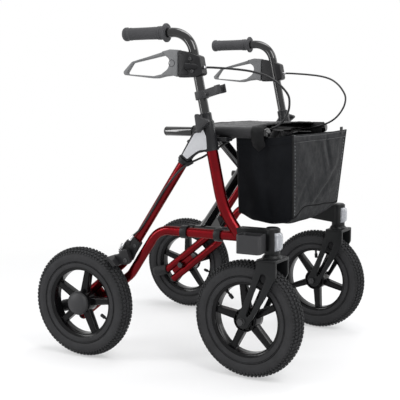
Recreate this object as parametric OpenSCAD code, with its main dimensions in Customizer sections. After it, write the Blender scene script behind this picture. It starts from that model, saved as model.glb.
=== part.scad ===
// All terrain rollator: a folding walking frame on four air filled wheels.
// +X points forward, +Y to the user's left and +Z up. The origin is on the floor,
// on the centre plane, midway between the axles. Lengths are in millimetres.

/* [Wheels] */
// Distance between the rear and the front axle
wheelbase = 485; // [460:1:510]
// Distance between the rear wheels, centre to centre
rear_track = 620; // [612:1:650]
// Outer radius of every tyre
wheel_r = 155; // [151:1:157]
// Width of the tyre section
tyre_w = 52; // [46:1:54]
// Thickness of the tyre carcass
tyre_wall = 5; // [3:0.5:8]
// Depth of the grooves round the tread
tread_depth = 3; // [1:0.5:3.5]
// Width of the grooves round the tread
tread_groove_w = 3; // [1.5:0.1:4]
// Radius where the tyre sits on the rim
rim_r = 113; // [108:1:116]
// Radial depth of the rim ring
rim_depth = 22; // [16:1:28]
// Width of the rim at its inner edge
rim_inner_w = 28; // [20:1:36]
// Number of spokes in a wheel
spoke_n = 5; // [3:1:8]
// Width of a spoke at the rim
spoke_w = 20; // [14:1:26]
// Width of a spoke at the hub
spoke_root_w = 27; // [20:1:28]
// Thickness of a spoke across the wheel
spoke_t = 18; // [12:1:26]
// Radius of the hub
hub_r = 23; // [20:1:28]
// Width of the hub
hub_w = 50; // [44:1:54]
// Radius of the domed hub cap
cap_r = 31; // [27:1:34]
// Height of the hub cap
cap_h = 15; // [12:1:20]
// Angle of the valve in the right rear wheel
right_rear_valve = -24; // [-180:1:180]
// Angle of the valve in the right front wheel
right_front_valve = 121; // [-180:1:180]
// Angle of the valve in the left front wheel
left_front_valve = 94; // [-180:1:180]
// Angle of the valve in the left rear wheel
left_rear_valve = -18; // [-180:1:180]

/* [Side frame] */
// Distance between the two side frames, centre to centre
frame_span = 534; // [528:1:550]
// Outer diameter of the front tube
front_tube_d = 30; // [29:0.5:32]
// Outer diameter of the lower and rear tubes
tube_d = 25; // [22:0.5:27]
// Wall of the frame tubes
tube_wall = 2; // [1.2:0.1:2]
// Lean of the handle stem and front tube from vertical
stem_lean = 12; // [9:0.5:14]
// Forward place of the collar on the front tube
collar_x = 118.5; // [110:0.5:130]
// Height of the collar
collar_z = 683; // [670:1:700]
// Height of the bend in the front tube
front_knee_z = 437; // [430:1:445]
// Lean of the foot of the front tube
front_foot_lean = 36; // [30:1:40]
// Length of the foot of the front tube below the bend
front_foot_len = 80; // [76:1:84]
// Bend radius of the front tube
front_bend_r = 220; // [150:5:260]
// Height of the straight lower tube
low_z = 369; // [362:1:374]
// Bend radius of the lower and rear tubes
bend_r = 62; // [50:1:70]
// Lean of the long rear tube from vertical
main_lean = 33.6; // [32:0.2:35]
// Slope of the tube tails at the rear axle
tail_pitch = 39.3; // [37:0.1:42]
// Distance between the tail tubes, centre to centre
tail_gap = 39; // [38:0.5:42]
// Length of the tails in front of the rear axle
tail_front = 154; // [145:1:165]
// Length of the tails behind the rear axle
tail_rear = 60; // [50:1:70]
// Diameter of the tip pedal behind the upper tail
tip_d = 34; // [30:1:35]
// Length of the tip pedal
tip_len = 55; // [45:1:60]
// Slope of the tip pedal
tip_pitch = 15; // [10:1:25]
// Thickness of the axle plate
axle_plate_t = 10; // [8:0.5:12]

/* [Handle] */
// Diameter of the handle stem
stem_d = 25; // [23:0.5:25]
// Height of the grip
grip_z = 892; // [870:1:920]
// Bend radius of the handle tube
handle_bend_r = 62; // [50:1:70]
// Length of the grip
grip_len = 127; // [110:1:140]
// Diameter of the grip
grip_d = 32; // [30:0.5:36]
// Diameter of the flange in front of the grip
grip_flange_d = 49; // [40:1:50]
// Diameter of the bead at the end of the grip
grip_bead_d = 36; // [34:0.5:40]
// Height of the lower end of the stem inside the front tube
stem_low_z = 522; // [518:1:540]

/* [Brakes] */
// Length of the brake lever
lever_len = 171; // [155:1:180]
// Height of the brake lever
lever_h = 73; // [65:1:78]
// Width of the bars of the lever loop
lever_w = 14; // [10:0.5:18]
// Width of the brake housing
housing_w = 32; // [29:0.5:36]
// Diameter of the brake cable
cable_d = 5.5; // [4:0.5:7]
// Diameter of the brake shoe
shoe_d = 15; // [12:0.5:16]
// Gap between the released brake shoe and the tyre
shoe_gap = 4; // [3:0.5:5]

/* [Casters] */
// Distance of the front axle behind the steering axis
caster_trail = 67; // [60:1:70]
// Angle of both casters at rest
caster_turn = -4.5; // [-10:0.5:10]
// Diameter of the steering head
head_d = 40; // [36:1:42]
// Height of the underside of the steering head
head_low_z = 331; // [329:1:334]
// Height of the top of the steering head
head_top_z = 396; // [392:1:402]
// Height of the top of the fork crown
crown_z = 322; // [319:1:325]
// Gap between a fork leg and the tyre
fork_gap = 4; // [3:0.5:6]
// Thickness of a fork leg
leg_t = 11; // [8:0.5:13]

/* [Seat and brace] */
// Distance between the seat rails, centre to centre
rail_span = 450; // [444:1:452]
// Height of the seat rails
rail_z = 634; // [628:1:640]
// Diameter of the seat rails
rail_d = 25; // [22:0.5:26]
// Length of a seat rail
rail_len = 291; // [285:1:295]
// Rear end of the seat rails
rail_rear_x = -17.5; // [-25:0.5:-12]
// Crown of the seat
seat_crown = 6; // [3:0.5:10]
// Distance between the lower pivots of the brace
pivot_span = 452; // [450:1:456]
// Height of the lower pivots of the brace
pivot_z = 372; // [368:1:376]
// Diameter of the brace tubes
brace_d = 28; // [24:0.5:30]

/* [Bag and cane holder] */
// Width of the bag at the top
bag_top_w = 444; // [430:1:448]
// Width of the bag at the bottom
bag_low_w = 374; // [350:1:390]
// Height of the front hem of the bag
bag_top_z = 631; // [625:1:636]
// Height of the bottom of the bag
bag_low_z = 404; // [400:1:420]
// Thickness of the bag wall
bag_wall = 3; // [2:0.5:4]
// Length of the cane cup
cup_len = 65; // [58:1:70]
// Depth of the cane cup across the frame
cup_w = 48; // [40:1:54]
// Height of the cane cup
cup_h = 47; // [40:1:50]
// Bore radius of the cane clip
clip_r = 9.75; // [9:0.05:10.5]

/* [Hidden] */
$fn = 64;
SIDES = ["right", "left"];
SIDE_NODES = [
    "front_tube", "lower_tube", "rear_tube", "axle_plate", "rear_axle", "top_joint", "reflectors",
    "front_joint", "tube_plugs", "brace_clamps", "brake_bracket", "brake_cable", "handle_tube", "grip",
    "brake_housing", "brake_lever", "brake_arm", "height_knob", "fork", "caster_spindle", "front_axle",
    "front_rim", "front_tyre", "rear_rim", "rear_tyre", "hub_cap"
];
MIDDLE_NODES = [
    "brace_a", "brace_b", "right_seat_rail", "left_seat_rail", "seat_sling", "bag", "cane_clip", "cane_cup"
];

// Clearances
seat_fit = 0.05;
run_fit = 0.06;
slide_fit = 0.4;
overrun = 1;
bend_lap = 1;
bend_thin = 0.15;
pivot_clear = 30;

// Half widths and wheel places
frame_push = max(0, pivot_span / 2 + pivot_clear - frame_span / 2);
frame_y = frame_span / 2 + frame_push;
rear_y = rear_track / 2 + frame_push;
rail_y = rail_span / 2;
pivot_y = pivot_span / 2;
rear_axle_at = [-wheelbase / 2, wheel_r];
front_axle_at = [wheelbase / 2, wheel_r];
head_x = wheelbase / 2 + caster_trail;
front_bore = front_tube_d - 2 * tube_wall;
tube_bore = tube_d - 2 * tube_wall;
tread_angles = [-74, -53, -32, -11, 11, 32, 53, 74];
bead_w = 2 * sqrt(pow(tyre_w / 2, 2) - pow(wheel_r - tyre_w / 2 - rim_r, 2));
rim_in_r = rim_r - rim_depth;

// Directions and corners of the side frame, as [x, z]
function unit(v) = v / norm(v);
function cross2(a, b) = a[0] * b[1] - a[1] * b[0];
tail_dir = [cos(tail_pitch), sin(tail_pitch)];
tail_side = [-sin(tail_pitch), cos(tail_pitch)];
main_dir = [sin(main_lean), cos(main_lean)];
stem_dir = [-sin(stem_lean), cos(stem_lean)];
foot_dir = [sin(front_foot_lean), -cos(front_foot_lean)];
collar_at = [collar_x, collar_z];
function stem_at(z) = collar_at + stem_dir * (z - collar_z) / stem_dir[1];
rear_corner = rear_axle_at + tail_dir * tail_front + tail_side * tail_gap / 2;
low_corner = rear_axle_at + tail_dir * tail_front - tail_side * tail_gap / 2;
rear_tail = rear_axle_at - tail_dir * tail_rear + tail_side * tail_gap / 2;
low_tail = rear_axle_at - tail_dir * tail_rear - tail_side * tail_gap / 2;
low_knee = low_corner + main_dir * (low_z - low_corner[1]) / main_dir[1];
front_knee = stem_at(front_knee_z);
front_foot = front_knee + foot_dir * front_foot_len;
rear_reach = cross2(collar_at - rear_corner, stem_dir) / cross2(main_dir, stem_dir);
apex = rear_corner + main_dir * rear_reach;
function rear_at(z) = rear_corner + main_dir * (z - rear_corner[1]) / main_dir[1];

// Top joint
sleeve_wall = 4;
sleeve_d = front_tube_d + 2 * sleeve_wall;
sleeve_len = 98;
tube_top_drop = 38;
rear_sleeve_wall = 3.5;
rear_sleeve_d = tube_d + 2 * rear_sleeve_wall;
rear_sleeve_z = 552;
rear_top_gap = 36;
rear_tube_top = apex - main_dir * rear_top_gap;
knob_seat_d = 28;
knob_seat_out = 22;
knob_drop = 24;
gusset_t = 14;
panel_share = 0.7;
panel_fit = 0.3;
cradle_fore = 12;
cradle_len = 34;
cradle_h = 24;
cradle_past = 6;

// Grip on the handle tube
flange_back = 4;
flange_t = 8;
bead_t = 9;
grip_end = 5;
handle_knee = stem_at(grip_z);
flange_x = handle_knee[0] - handle_bend_r - flange_back;

// Height knob
knob_screw_d = 8;
knob_tip_r = 6;
knob_reach = 21;
knob_waist_r = 13;
knob_h = 16;
knob_boss_h = 4;
knob_boss_r = 11;
knob_tips = 3;

// Front joint casting, steering head and reflector
cast_rear_x = 220;
cast_low_z = 351;
cast_w = 38;
cast_top_drop = 2;
socket_depth = 12;
head_cap_h = 4;
spindle_d = 12;
reflector_w = 30;
reflector_t = 7;
reflector_low = 10;
reflector_h = 46;
reflector_share = 0.8;

// Fork
leg_in = tyre_w / 2 + fork_gap;
leg_out = leg_in + leg_t;
fork_back = 19;
fork_front = 31;
fork_side_drop = 47;
crown_t = 16;
boss_r = 14;
dome_r = 25;
dome_h = 8.4;
dome_top_share = 0.82;
spindle_foot = 6;
window_low_share = 0.3;
window_high_share = 0.98;
window_share = 0.67;

// Axles and bearings
axle_d = 12;
bearing_d = 28;
bearing_w = 9;
axle_plate_share = 0.75;
axle_nut_r = 9.5;
axle_nut_h = 7;
shoulder_r = 9;
shoulder_gap = 0.4;
valve_d = 8;
valve_len = 24;
valve_tip_d = 6;
valve_tip_len = 8;
valve_share = 0.5;
// Outline of the hub cap: share of its radius, share of its height
cap_shares = [[0.75, 0], [1, 0.25], [0.88, 0.67], [0.5, 1], [0, 1]];

// Tube plugs
plug_len = 9;
plug_spigot = 12;
plug_nose_share = 0.72;
// Straight stretch of the tip pedal, and its nose, as shares of its length and diameter
tip_straight_share = 0.8;
tip_nose_share = 0.7;

// Brake housing and lever
lever_out = 5;
lever_root_x = 46;
lever_root_w = 26;
tongue_w = 9;
tongue_r = 9;
tongue_root = 16;
slot_fit = 0.6;
lever_pin_d = 8;
housing_rear_x = 50;
housing_top_z = 846;
housing_h = 70;
housing_low_z = housing_top_z - housing_h;
lever_drop = 2;
lever_low_z = housing_low_z - lever_drop;
lever_pivot_in = 8;
lever_pivot_drop = 17;
lever_pivot = [housing_rear_x + lever_pivot_in, housing_top_z - lever_pivot_drop];
housing_front = 23;
housing_slope = 16;
housing_foot = 8;
housing_slot = 22;
ferrule_d = 10;
ferrule_len = 14;
ferrule_lift = 24;
ferrule_z = housing_low_z + ferrule_lift;
ferrule_out = 8;
// Outlines of the lever: share of its length from the root, share of its height from the bottom
lever_outer_shares = [
    [0, 0.52], [0.05, 0.99], [0.2, 1], [0.51, 0.79], [0.84, 0.63], [1, 0.25], [0.98, 0.12], [0.44, 0],
    [0.34, 0], [0.22, 0.07], [0, 0.03]
];
lever_inner_shares = [
    [0.23, 0.84], [0.51, 0.65], [0.81, 0.51], [0.92, 0.22], [0.9, 0.15], [0.44, 0.09], [0.27, 0.17],
    [0.175, 0.3], [0.135, 0.53], [0.16, 0.72]
];
lever_root_share = 0.2;

// Brake bracket, arm and shoe
shoe_angle = 53;
shoe_at = rear_axle_at + (wheel_r + shoe_gap + shoe_d / 2) * [cos(shoe_angle), sin(shoe_angle)];
arm_reach = [38.6, -4.6];
arm_pivot = shoe_at + arm_reach;
arm_crank = [-6, 26];
arm_t = 6;
arm_r = 8;
arm_crank_r = 6;
arm_pin_d = 8;
arm_gap = 0.5;
shoe_len = 44;
bracket_len = 62;
bracket_wall = 4;
bracket_d = tube_d + 2 * bracket_wall;
bracket_mid_z = 306;
bracket_plate_t = 6;
bracket_proud = 1;
bracket_face_y = -frame_y - bracket_d / 2 - bracket_proud;
adjuster_d = 9;
adjuster_len = 17;
cable_foot_fit = 0.2;

// Brace, its clamps and the seat
clamp_wall = 5;
clamp_d = tube_d + 2 * clamp_wall;
clamp_len = 18;
clamp_low_x = 50;
clamp_high_x = 150;
clamp_web_t = 18;
pivot_tube_d = 22;
pivot_pin_d = 12;
pivot_pin_len = 13;
pivot_gap = 0.6;
lug_d = 24;
brace_wall = 2;
brace_a_x = 93;
brace_b_x = 125;
scissor_bolt_d = 10;
scissor_head_d = 20;
scissor_head_h = 6;
brace_gusset_t = 4;
brace_gusset_w = 66;
brace_gusset_len = 58;
rail_wall = 2;
rail_cap_len = 6;
rail_cap_spigot = 14;
rail_cap_nose_share = 0.8;
seat_lift = 0.5;
seat_edge = 3;
seat_rear_x = 66;
seat_wrap_gap = 1.5;
seat_wrap_rear_x = brace_b_x + brace_d / 2 + seat_wrap_gap;
seat_wrap_x = 186;
seat_front_x = 258;
seat_wrap_fit = 0.4;
seat_wrap_t = 2;
seat_inner_y = 208;
seat_points_n = 12;
scissor_at = [0, pivot_z + (rail_z - pivot_z) * pivot_y / (pivot_y + rail_y)];

// Bag
bag_rear_x = 190;
bag_front_x = 342;
bag_low_front_x = 327;
bag_low_rear_x = 194;
bag_rear_z = 602;
loop_w = 26;
loop_fit = 0.4;
loop_t = 2;
loop_x = [206, 252];
loop_lap = 14;

// Cane clip and cup
clip_z = 730;
clip_h = 21;
clip_ring_wall = 5;
clip_wall = 5;
clip_fore = 72;
clip_out = 36;
clip_arm_w = 12;
clip_mouth_share = 0.8;
cup_wall = 3;
cup_round = 9;
cup_x = 237;
cup_low_z = 338;
cup_gap = 0.3;

// Brake cable: points from the housing down to the brake, chosen by hand
cable_sides = 8;
cable_rings = 39;
cable_route = [
    [127.4, -275, 800], [150, -275, 799], [200, -273, 795], [245, -268, 789], [280, -258, 779],
    [305, -248, 764], [322, -240, 747], [334, -233, 728], [335, -228, 708], [329, -221, 688],
    [315, -214, 667], [296, -209, 652], [272, -206, 642], [240, -206, 634], [205, -207, 629],
    [175, -210, 620], [152, -220, 603], [130, -240, 587], [108, -252, 571], [94, -263, 563],
    [78, -275, 554], [58, -284, 539], [34, -286, 514], [0, -285, 472], [-36, -285, 417], [-68, -285, 372],
    [-92, -285, 350], [-104, -285, 336]
];

// General shapes

// Draws a flat shape, given as [x, z], as a plate of thickness t about the plane y
module plate(y, t) {
    translate([0, y + t / 2, 0]) rotate([90, 0, 0]) linear_extrude(t) children();
}

// A round bar across the frame, centred on y
module cross_bar(at, y, len, d) {
    translate([at[0], y + len / 2, at[1]]) rotate([90, 0, 0]) cylinder(h = len, d = d);
}

// A bar between two [x, z] points in the plane y
module bar(a, b, y, d) {
    translate([a[0], y, a[1]])
        rotate([0, atan2(b[0] - a[0], b[1] - a[1]), 0])
            cylinder(h = norm(b - a), d = d);
}

module ring(d, bore) {
    difference() {
        circle(d = d);
        circle(d = bore);
    }
}

// A bent rod through [x, y] corners, with one bend radius per inner corner and its ends drawn on
// by over. The bends are a hair thinner, and the straights lap over them.
module bent_rod(pts, radii, d, over) {
    n = len(pts);
    dirs = [for (i = [0:n - 2]) unit(pts[i + 1] - pts[i])];
    turns = [for (i = [1:n - 2]) atan2(cross2(dirs[i - 1], dirs[i]), dirs[i - 1] * dirs[i])];
    cuts = [for (i = [0:n - 3]) radii[i] * tan(abs(turns[i]) / 2)];
    for (i = [0:n - 2]) {
        a = pts[i] + dirs[i] * (i == 0 ? -over : cuts[i - 1] - bend_lap);
        b = pts[i + 1] - dirs[i] * (i == n - 2 ? -over : cuts[i] - bend_lap);
        translate([a[0], a[1], 0])
            rotate([0, 0, atan2(dirs[i][1], dirs[i][0])])
                rotate([0, 90, 0])
                    cylinder(h = norm(b - a), d = d);
    }
    for (i = [0:n - 3]) {
        side = sign(turns[i]);
        start = pts[i + 1] - dirs[i] * cuts[i];
        centre = start + [-dirs[i][1], dirs[i][0]] * side * radii[i];
        from = atan2(start[1] - centre[1], start[0] - centre[0]);
        translate([centre[0], centre[1], 0])
            rotate([0, 0, side > 0 ? from : from + turns[i]])
                rotate_extrude(angle = abs(turns[i])) translate([radii[i], 0]) circle(d = d - 2 * bend_thin);
    }
}

// A bent tube in the plane y through [x, z] corners
module bent_tube(pts, radii, y, d, bore) {
    translate([0, y, 0]) rotate([90, 0, 0]) difference() {
        bent_rod(pts, radii, d, 0);
        bent_rod(pts, radii, bore, overrun);
    }
}

// A rectangle with round corners, from its low corner
module round_rect(w, h, r) {
    translate([r, 0]) square([w - 2 * r, h]);
    translate([0, r]) square([w, h - 2 * r]);
    for (x = [r, w - r], z = [r, h - r]) translate([x, z]) circle(r);
}

// Puts the stem's own axis upright, with its origin at height z on the right stem
module on_stem(z) {
    at = stem_at(z);
    translate([at[0], -frame_y, at[1]]) rotate([0, -stem_lean, 0]) children();
}

// Mirrors the right half to the side that is asked for
module at_side(side) {
    if (side == "right") children();
    else mirror([0, 1, 0]) children();
}

// Turns a caster piece about its steering axis, both casters the same way
module turned(side) {
    turn = side == "right" ? caster_turn : -caster_turn;
    translate([head_x, -frame_y, 0]) rotate([0, 0, turn]) translate([-head_x, frame_y, 0]) children();
}

// Side frame

module front_tube() {
    color("darkred") difference() {
        bent_tube([collar_at - stem_dir * tube_top_drop, front_knee, front_foot], [front_bend_r],
            -frame_y, front_tube_d, front_bore);
        bar([cast_rear_x - front_tube_d, low_z], [cast_rear_x + socket_depth + seat_fit, low_z],
            -frame_y, tube_d + 2 * seat_fit);
    }
}

module lower_tube() {
    color("darkred")
        bent_tube([[cast_rear_x + socket_depth, low_z], low_knee, low_corner, low_tail], [bend_r, bend_r],
            -frame_y, tube_d, tube_bore);
}

module rear_tube() {
    color("darkred")
        bent_tube([rear_tube_top, rear_corner, rear_tail], [bend_r], -frame_y, tube_d, tube_bore);
}

module axle_plate() {
    reach = tail_rear * axle_plate_share;
    color("firebrick") difference() {
        plate(-frame_y, axle_plate_t)
            polygon([for (s = [[-1, -1], [1, -1], [1, 1], [-1, 1]])
                rear_axle_at + s[0] * reach * tail_dir + s[1] * tail_gap / 2 * tail_side]);
        for (s = [-1, 1])
            bar(rear_axle_at + s * tail_gap / 2 * tail_side - tail_dir * tail_rear,
                rear_axle_at + s * tail_gap / 2 * tail_side + tail_dir * tail_rear,
                -frame_y, tube_d + 2 * seat_fit);
        cross_bar(rear_axle_at, -frame_y, axle_plate_t + 2 * overrun, axle_d + 2 * seat_fit);
    }
}

// Ring shaped bearings at both ends of a hub whose middle is at y
module bearings(at, y) {
    for (s = [-1, 1]) difference() {
        cross_bar(at, y + s * (hub_w - bearing_w) / 2, bearing_w, bearing_d);
        cross_bar(at, y + s * (hub_w - bearing_w) / 2, bearing_w + 2 * overrun, axle_d + 2 * seat_fit);
    }
}

module rear_axle() {
    inner_y = -frame_y + tube_d / 2 + shoulder_gap + axle_nut_h;
    outer_y = -rear_y - hub_w / 2 - axle_nut_h;
    shoulder_out = -rear_y + hub_w / 2 + seat_fit;
    shoulder_in = -frame_y - tube_d / 2 - shoulder_gap;
    color("silver") {
        cross_bar(rear_axle_at, (inner_y + outer_y) / 2, inner_y - outer_y, axle_d);
        cross_bar(rear_axle_at, (shoulder_out + shoulder_in) / 2, shoulder_in - shoulder_out, 2 * shoulder_r);
        translate([rear_axle_at[0], inner_y, rear_axle_at[1]])
            rotate([90, 0, 0]) cylinder(h = axle_nut_h - seat_fit, r = axle_nut_r, $fn = 6);
        translate([rear_axle_at[0], outer_y + axle_nut_h - seat_fit, rear_axle_at[1]])
            rotate([90, 0, 0]) cylinder(h = axle_nut_h - seat_fit, r = axle_nut_r, $fn = 6);
        bearings(rear_axle_at, -rear_y);
    }
}

// A plug's stem in the bore of a tail
module plug_stem() {
    translate([0, 0, -plug_spigot])
        cylinder(h = plug_spigot + plug_len / 2, d = tube_bore - 2 * seat_fit);
}

// Takes upright axes to the end of a tail, pointing out of it
module on_tail(tail) {
    translate([tail[0], -frame_y, tail[1]]) rotate([0, -90 - tail_pitch, 0]) children();
}

// Rubber foot for tipping the front wheels over a kerb, pushed on the upper tail
module tip_pedal() {
    straight = tip_len * tip_straight_share;
    difference() {
        translate([rear_tail[0], -frame_y, rear_tail[1]]) rotate([0, -90 - tip_pitch, 0]) {
            cylinder(h = straight, d = tip_d);
            translate([0, 0, straight])
                cylinder(h = tip_len - straight, d1 = tip_d, d2 = tip_d * tip_nose_share);
        }
        bar(rear_tail - tail_dir * seat_fit, rear_tail + tail_dir * tip_d, -frame_y, tube_d + 2 * seat_fit);
    }
    on_tail(rear_tail) plug_stem();
}

module tube_plugs() {
    color("black") {
        tip_pedal();
        on_tail(low_tail) {
            translate([0, 0, seat_fit]) cylinder(h = plug_len / 2, d = tube_d);
            translate([0, 0, seat_fit + plug_len / 2])
                cylinder(h = plug_len / 2, d1 = tube_d, d2 = tube_d * plug_nose_share);
            plug_stem();
        }
    }
}

// Corners of the gusset between the front tube and the rear tube
gusset_points = [rear_at(rear_sleeve_z), stem_at(collar_z - sleeve_len * stem_dir[1]), apex];
gusset_mid = (gusset_points[0] + gusset_points[1] + gusset_points[2]) / 3;
function about_gusset(share) = [for (p = gusset_points) gusset_mid + (p - gusset_mid) * share];
knob_at = stem_at(collar_z - knob_drop);

module top_joint() {
    color("#26262a") difference() {
        union() {
            on_stem(collar_z) translate([0, 0, -sleeve_len]) cylinder(h = sleeve_len, d = sleeve_d);
            bar(rear_at(rear_sleeve_z), apex, -frame_y, rear_sleeve_d);
            difference() {
                plate(-frame_y, gusset_t) polygon(gusset_points);
                plate(-frame_y, gusset_t + 2 * overrun) polygon(about_gusset(panel_share));
            }
            translate([knob_at[0], -frame_y, knob_at[1]])
                rotate([90, 0, 0]) cylinder(h = knob_seat_out, d = knob_seat_d);
            translate([stem_at(rail_z)[0] + cradle_fore, -frame_y, rail_z - cradle_h])
                cube([cradle_len, frame_y - rail_y + cradle_past, cradle_h]);
        }
        on_stem(collar_z) {
            translate([0, 0, -sleeve_len - gusset_t])
                cylinder(h = sleeve_len + gusset_t - tube_top_drop + seat_fit, d = front_tube_d + 2 * seat_fit);
            translate([0, 0, -sleeve_len - gusset_t])
                cylinder(h = sleeve_len + gusset_t + overrun, d = stem_d + 2 * slide_fit);
        }
        bar(rear_at(rear_sleeve_z) - main_dir * overrun, rear_tube_top + main_dir * seat_fit,
            -frame_y, tube_d + 2 * seat_fit);
        translate([knob_at[0], -frame_y, knob_at[1]]) rotate([90, 0, 0])
            cylinder(h = knob_seat_out + overrun, d = knob_screw_d + 2 * run_fit);
        translate([rail_rear_x, -rail_y, rail_z]) rotate([0, 90, 0])
            cylinder(h = rail_len, d = rail_d + 2 * (seat_wrap_fit + seat_wrap_t + slide_fit));
    }
}

module reflectors() {
    color("lightgray") {
        difference() {
            plate(-frame_y, gusset_t)
                polygon(about_gusset(panel_share - panel_fit / norm(gusset_points[2] - gusset_mid)));
            on_stem(collar_z) translate([0, 0, -sleeve_len - overrun])
                cylinder(h = sleeve_len + 2 * overrun, d = sleeve_d + 2 * panel_fit);
            bar(rear_at(rear_sleeve_z) - main_dir * overrun, apex, -frame_y, rear_sleeve_d + 2 * panel_fit);
        }
        translate([head_x, -frame_y, head_low_z + reflector_low]) difference() {
            translate([0, -reflector_w / 2, 0]) cube([head_d / 2 + reflector_t, reflector_w, reflector_h]);
            translate([0, 0, -overrun]) cylinder(h = reflector_h + 2 * overrun, d = head_d + 2 * seat_fit);
            translate([-head_d / 2, -reflector_w, -overrun])
                cube([head_d / 2 * (1 + reflector_share), 2 * reflector_w, reflector_h + 2 * overrun]);
        }
    }
}

module front_joint() {
    top = head_top_z - cast_top_drop;
    color("#1b1b1d") difference() {
        union() {
            plate(-frame_y, cast_w)
                polygon([[cast_rear_x, cast_low_z], [head_x, head_low_z + reflector_low], [head_x, top],
                    [front_foot[0], top], [cast_rear_x, low_z + tube_d / 2]]);
            translate([head_x, -frame_y, head_low_z]) cylinder(h = head_top_z - head_low_z, d = head_d);
            translate([head_x, -frame_y, head_top_z])
                cylinder(h = head_cap_h, d1 = head_d, d2 = head_d * plug_nose_share);
        }
        bar([cast_rear_x - socket_depth, low_z], [cast_rear_x + socket_depth + seat_fit, low_z],
            -frame_y, tube_d + 2 * seat_fit);
        bar(front_foot + foot_dir * seat_fit, front_knee, -frame_y, front_tube_d + 2 * seat_fit);
        translate([head_x, -frame_y, head_low_z - overrun])
            cylinder(h = head_top_z - head_low_z, d = spindle_d + 2 * run_fit);
    }
}

// Cross brace clamps: a ring on the lower tube and a lug with a pin for the pivot tube
module brace_clamps() {
    color("#222224") for (s = [0, 1]) {
        x = s == 0 ? clamp_low_x : clamp_high_x;
        pin_x = s == 0 ? clamp_low_x + clamp_len : clamp_high_x - pivot_pin_len;
        difference() {
            union() {
                translate([x, -frame_y, low_z]) rotate([0, 90, 0]) cylinder(h = clamp_len, d = clamp_d);
                translate([x, -pivot_y, pivot_z]) rotate([0, 90, 0]) cylinder(h = clamp_len, d = lug_d);
                translate([x, -frame_y, (low_z + pivot_z - clamp_web_t) / 2])
                    cube([clamp_len, frame_y - pivot_y, clamp_web_t]);
            }
            translate([x - overrun, -frame_y, low_z]) rotate([0, 90, 0])
                cylinder(h = clamp_len + 2 * overrun, d = tube_d + 2 * seat_fit);
        }
        translate([pin_x, -pivot_y, pivot_z]) rotate([0, 90, 0])
            cylinder(h = pivot_pin_len, d = pivot_pin_d);
    }
}

// Handle

module handle_tube() {
    color("#151517")
        bent_tube([stem_at(stem_low_z), handle_knee, [flange_x - grip_len, grip_z]], [handle_bend_r],
            -frame_y, stem_d, stem_d - 2 * tube_wall);
}

module grip() {
    color("dimgray") translate([flange_x, -frame_y, grip_z]) rotate([0, -90, 0]) rotate_extrude()
        polygon([
            [stem_d / 2 + seat_fit, 0], [grip_flange_d / 2, 0], [grip_flange_d / 2, flange_t / 2],
            [grip_d / 2, flange_t], [grip_d / 2, grip_len - bead_t],
            [grip_bead_d / 2, grip_len - bead_t / 2], [grip_bead_d / 2, grip_len + grip_end / 2],
            [grip_d / 2, grip_len + grip_end], [0, grip_len + grip_end], [0, grip_len + seat_fit],
            [stem_d / 2 + seat_fit, grip_len + seat_fit]
        ]);
}

module brake_housing() {
    y = -frame_y - lever_out;
    top = stem_at(housing_top_z - housing_slope) + [housing_front, 0];
    low = stem_at(housing_low_z + housing_foot) + [housing_front, 0];
    color("#161618") {
        difference() {
            union() {
                plate(y, housing_w)
                    polygon([[housing_rear_x, housing_low_z], [low[0] - housing_front, housing_low_z], low, top,
                        [housing_rear_x + housing_slot, housing_top_z - housing_slope / 2],
                        [housing_rear_x, housing_top_z]]);
                translate([low[0] - ferrule_len / 2, -frame_y - ferrule_out, ferrule_z]) rotate([0, 90, 0])
                    cylinder(h = ferrule_len, d = ferrule_d);
            }
            on_stem(ferrule_z) translate([0, 0, -lever_h])
                cylinder(h = 2 * lever_h, d = stem_d + 2 * seat_fit);
            translate([housing_rear_x - overrun, y - tongue_w / 2 - slot_fit, housing_low_z - overrun])
                cube([housing_slot + overrun, tongue_w + 2 * slot_fit, lever_h + 2 * overrun]);
        }
        cross_bar(lever_pivot, y, housing_w, lever_pin_d);
    }
}

function on_lever(shares) = [for (s = shares) [lever_root_x - s[0] * lever_len, lever_low_z + s[1] * lever_h]];

module brake_lever() {
    y = -frame_y - lever_out;
    color("#3a3a3d") difference() {
        union() {
            plate(y, lever_w) polygon(on_lever(lever_outer_shares));
            intersection() {
                plate(y, lever_root_w) polygon(on_lever(lever_outer_shares));
                translate([lever_root_x - lever_root_share * lever_len, y - lever_root_w, lever_low_z - overrun])
                    cube([lever_root_share * lever_len + overrun, 2 * lever_root_w, lever_h + 2 * overrun]);
            }
            cross_bar(lever_pivot, y, tongue_w, 2 * tongue_r);
            plate(y, tongue_w) polygon([
                lever_pivot + [0, tongue_r], lever_pivot - [0, tongue_r],
                [lever_root_x - tongue_root, lever_pivot[1] - tongue_r],
                [lever_root_x - tongue_root, lever_pivot[1] + tongue_r]
            ]);
        }
        plate(y, lever_root_w + 2 * overrun) polygon(on_lever(lever_inner_shares));
        cross_bar(lever_pivot, y, lever_root_w, lever_pin_d + 2 * run_fit);
    }
}

module height_knob() {
    face_y = -frame_y - knob_seat_out - shoulder_gap;
    screw_len = knob_seat_out + shoulder_gap - stem_d / 2 - slide_fit;
    star = [for (i = [0:knob_tips - 1], p = [[knob_reach, -knob_tip_r, 0], [knob_reach, knob_tip_r, 0],
        [knob_waist_r, 0, 180 / knob_tips]]) let (a = i * 360 / knob_tips + p[2])
        [p[0] * cos(a) - p[1] * sin(a), p[0] * sin(a) + p[1] * cos(a)]];
    color("#111113") translate([knob_at[0], face_y, knob_at[1]]) rotate([90, 0, 0]) {
        cylinder(h = knob_boss_h, r = knob_boss_r);
        translate([0, 0, knob_boss_h]) linear_extrude(knob_h) {
            polygon(star);
            for (i = [0:knob_tips - 1]) rotate(i * 360 / knob_tips) translate([knob_reach, 0]) circle(knob_tip_r);
        }
        translate([0, 0, -screw_len]) cylinder(h = screw_len, d = knob_screw_d);
    }
}

// Brake at the rear wheel

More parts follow.
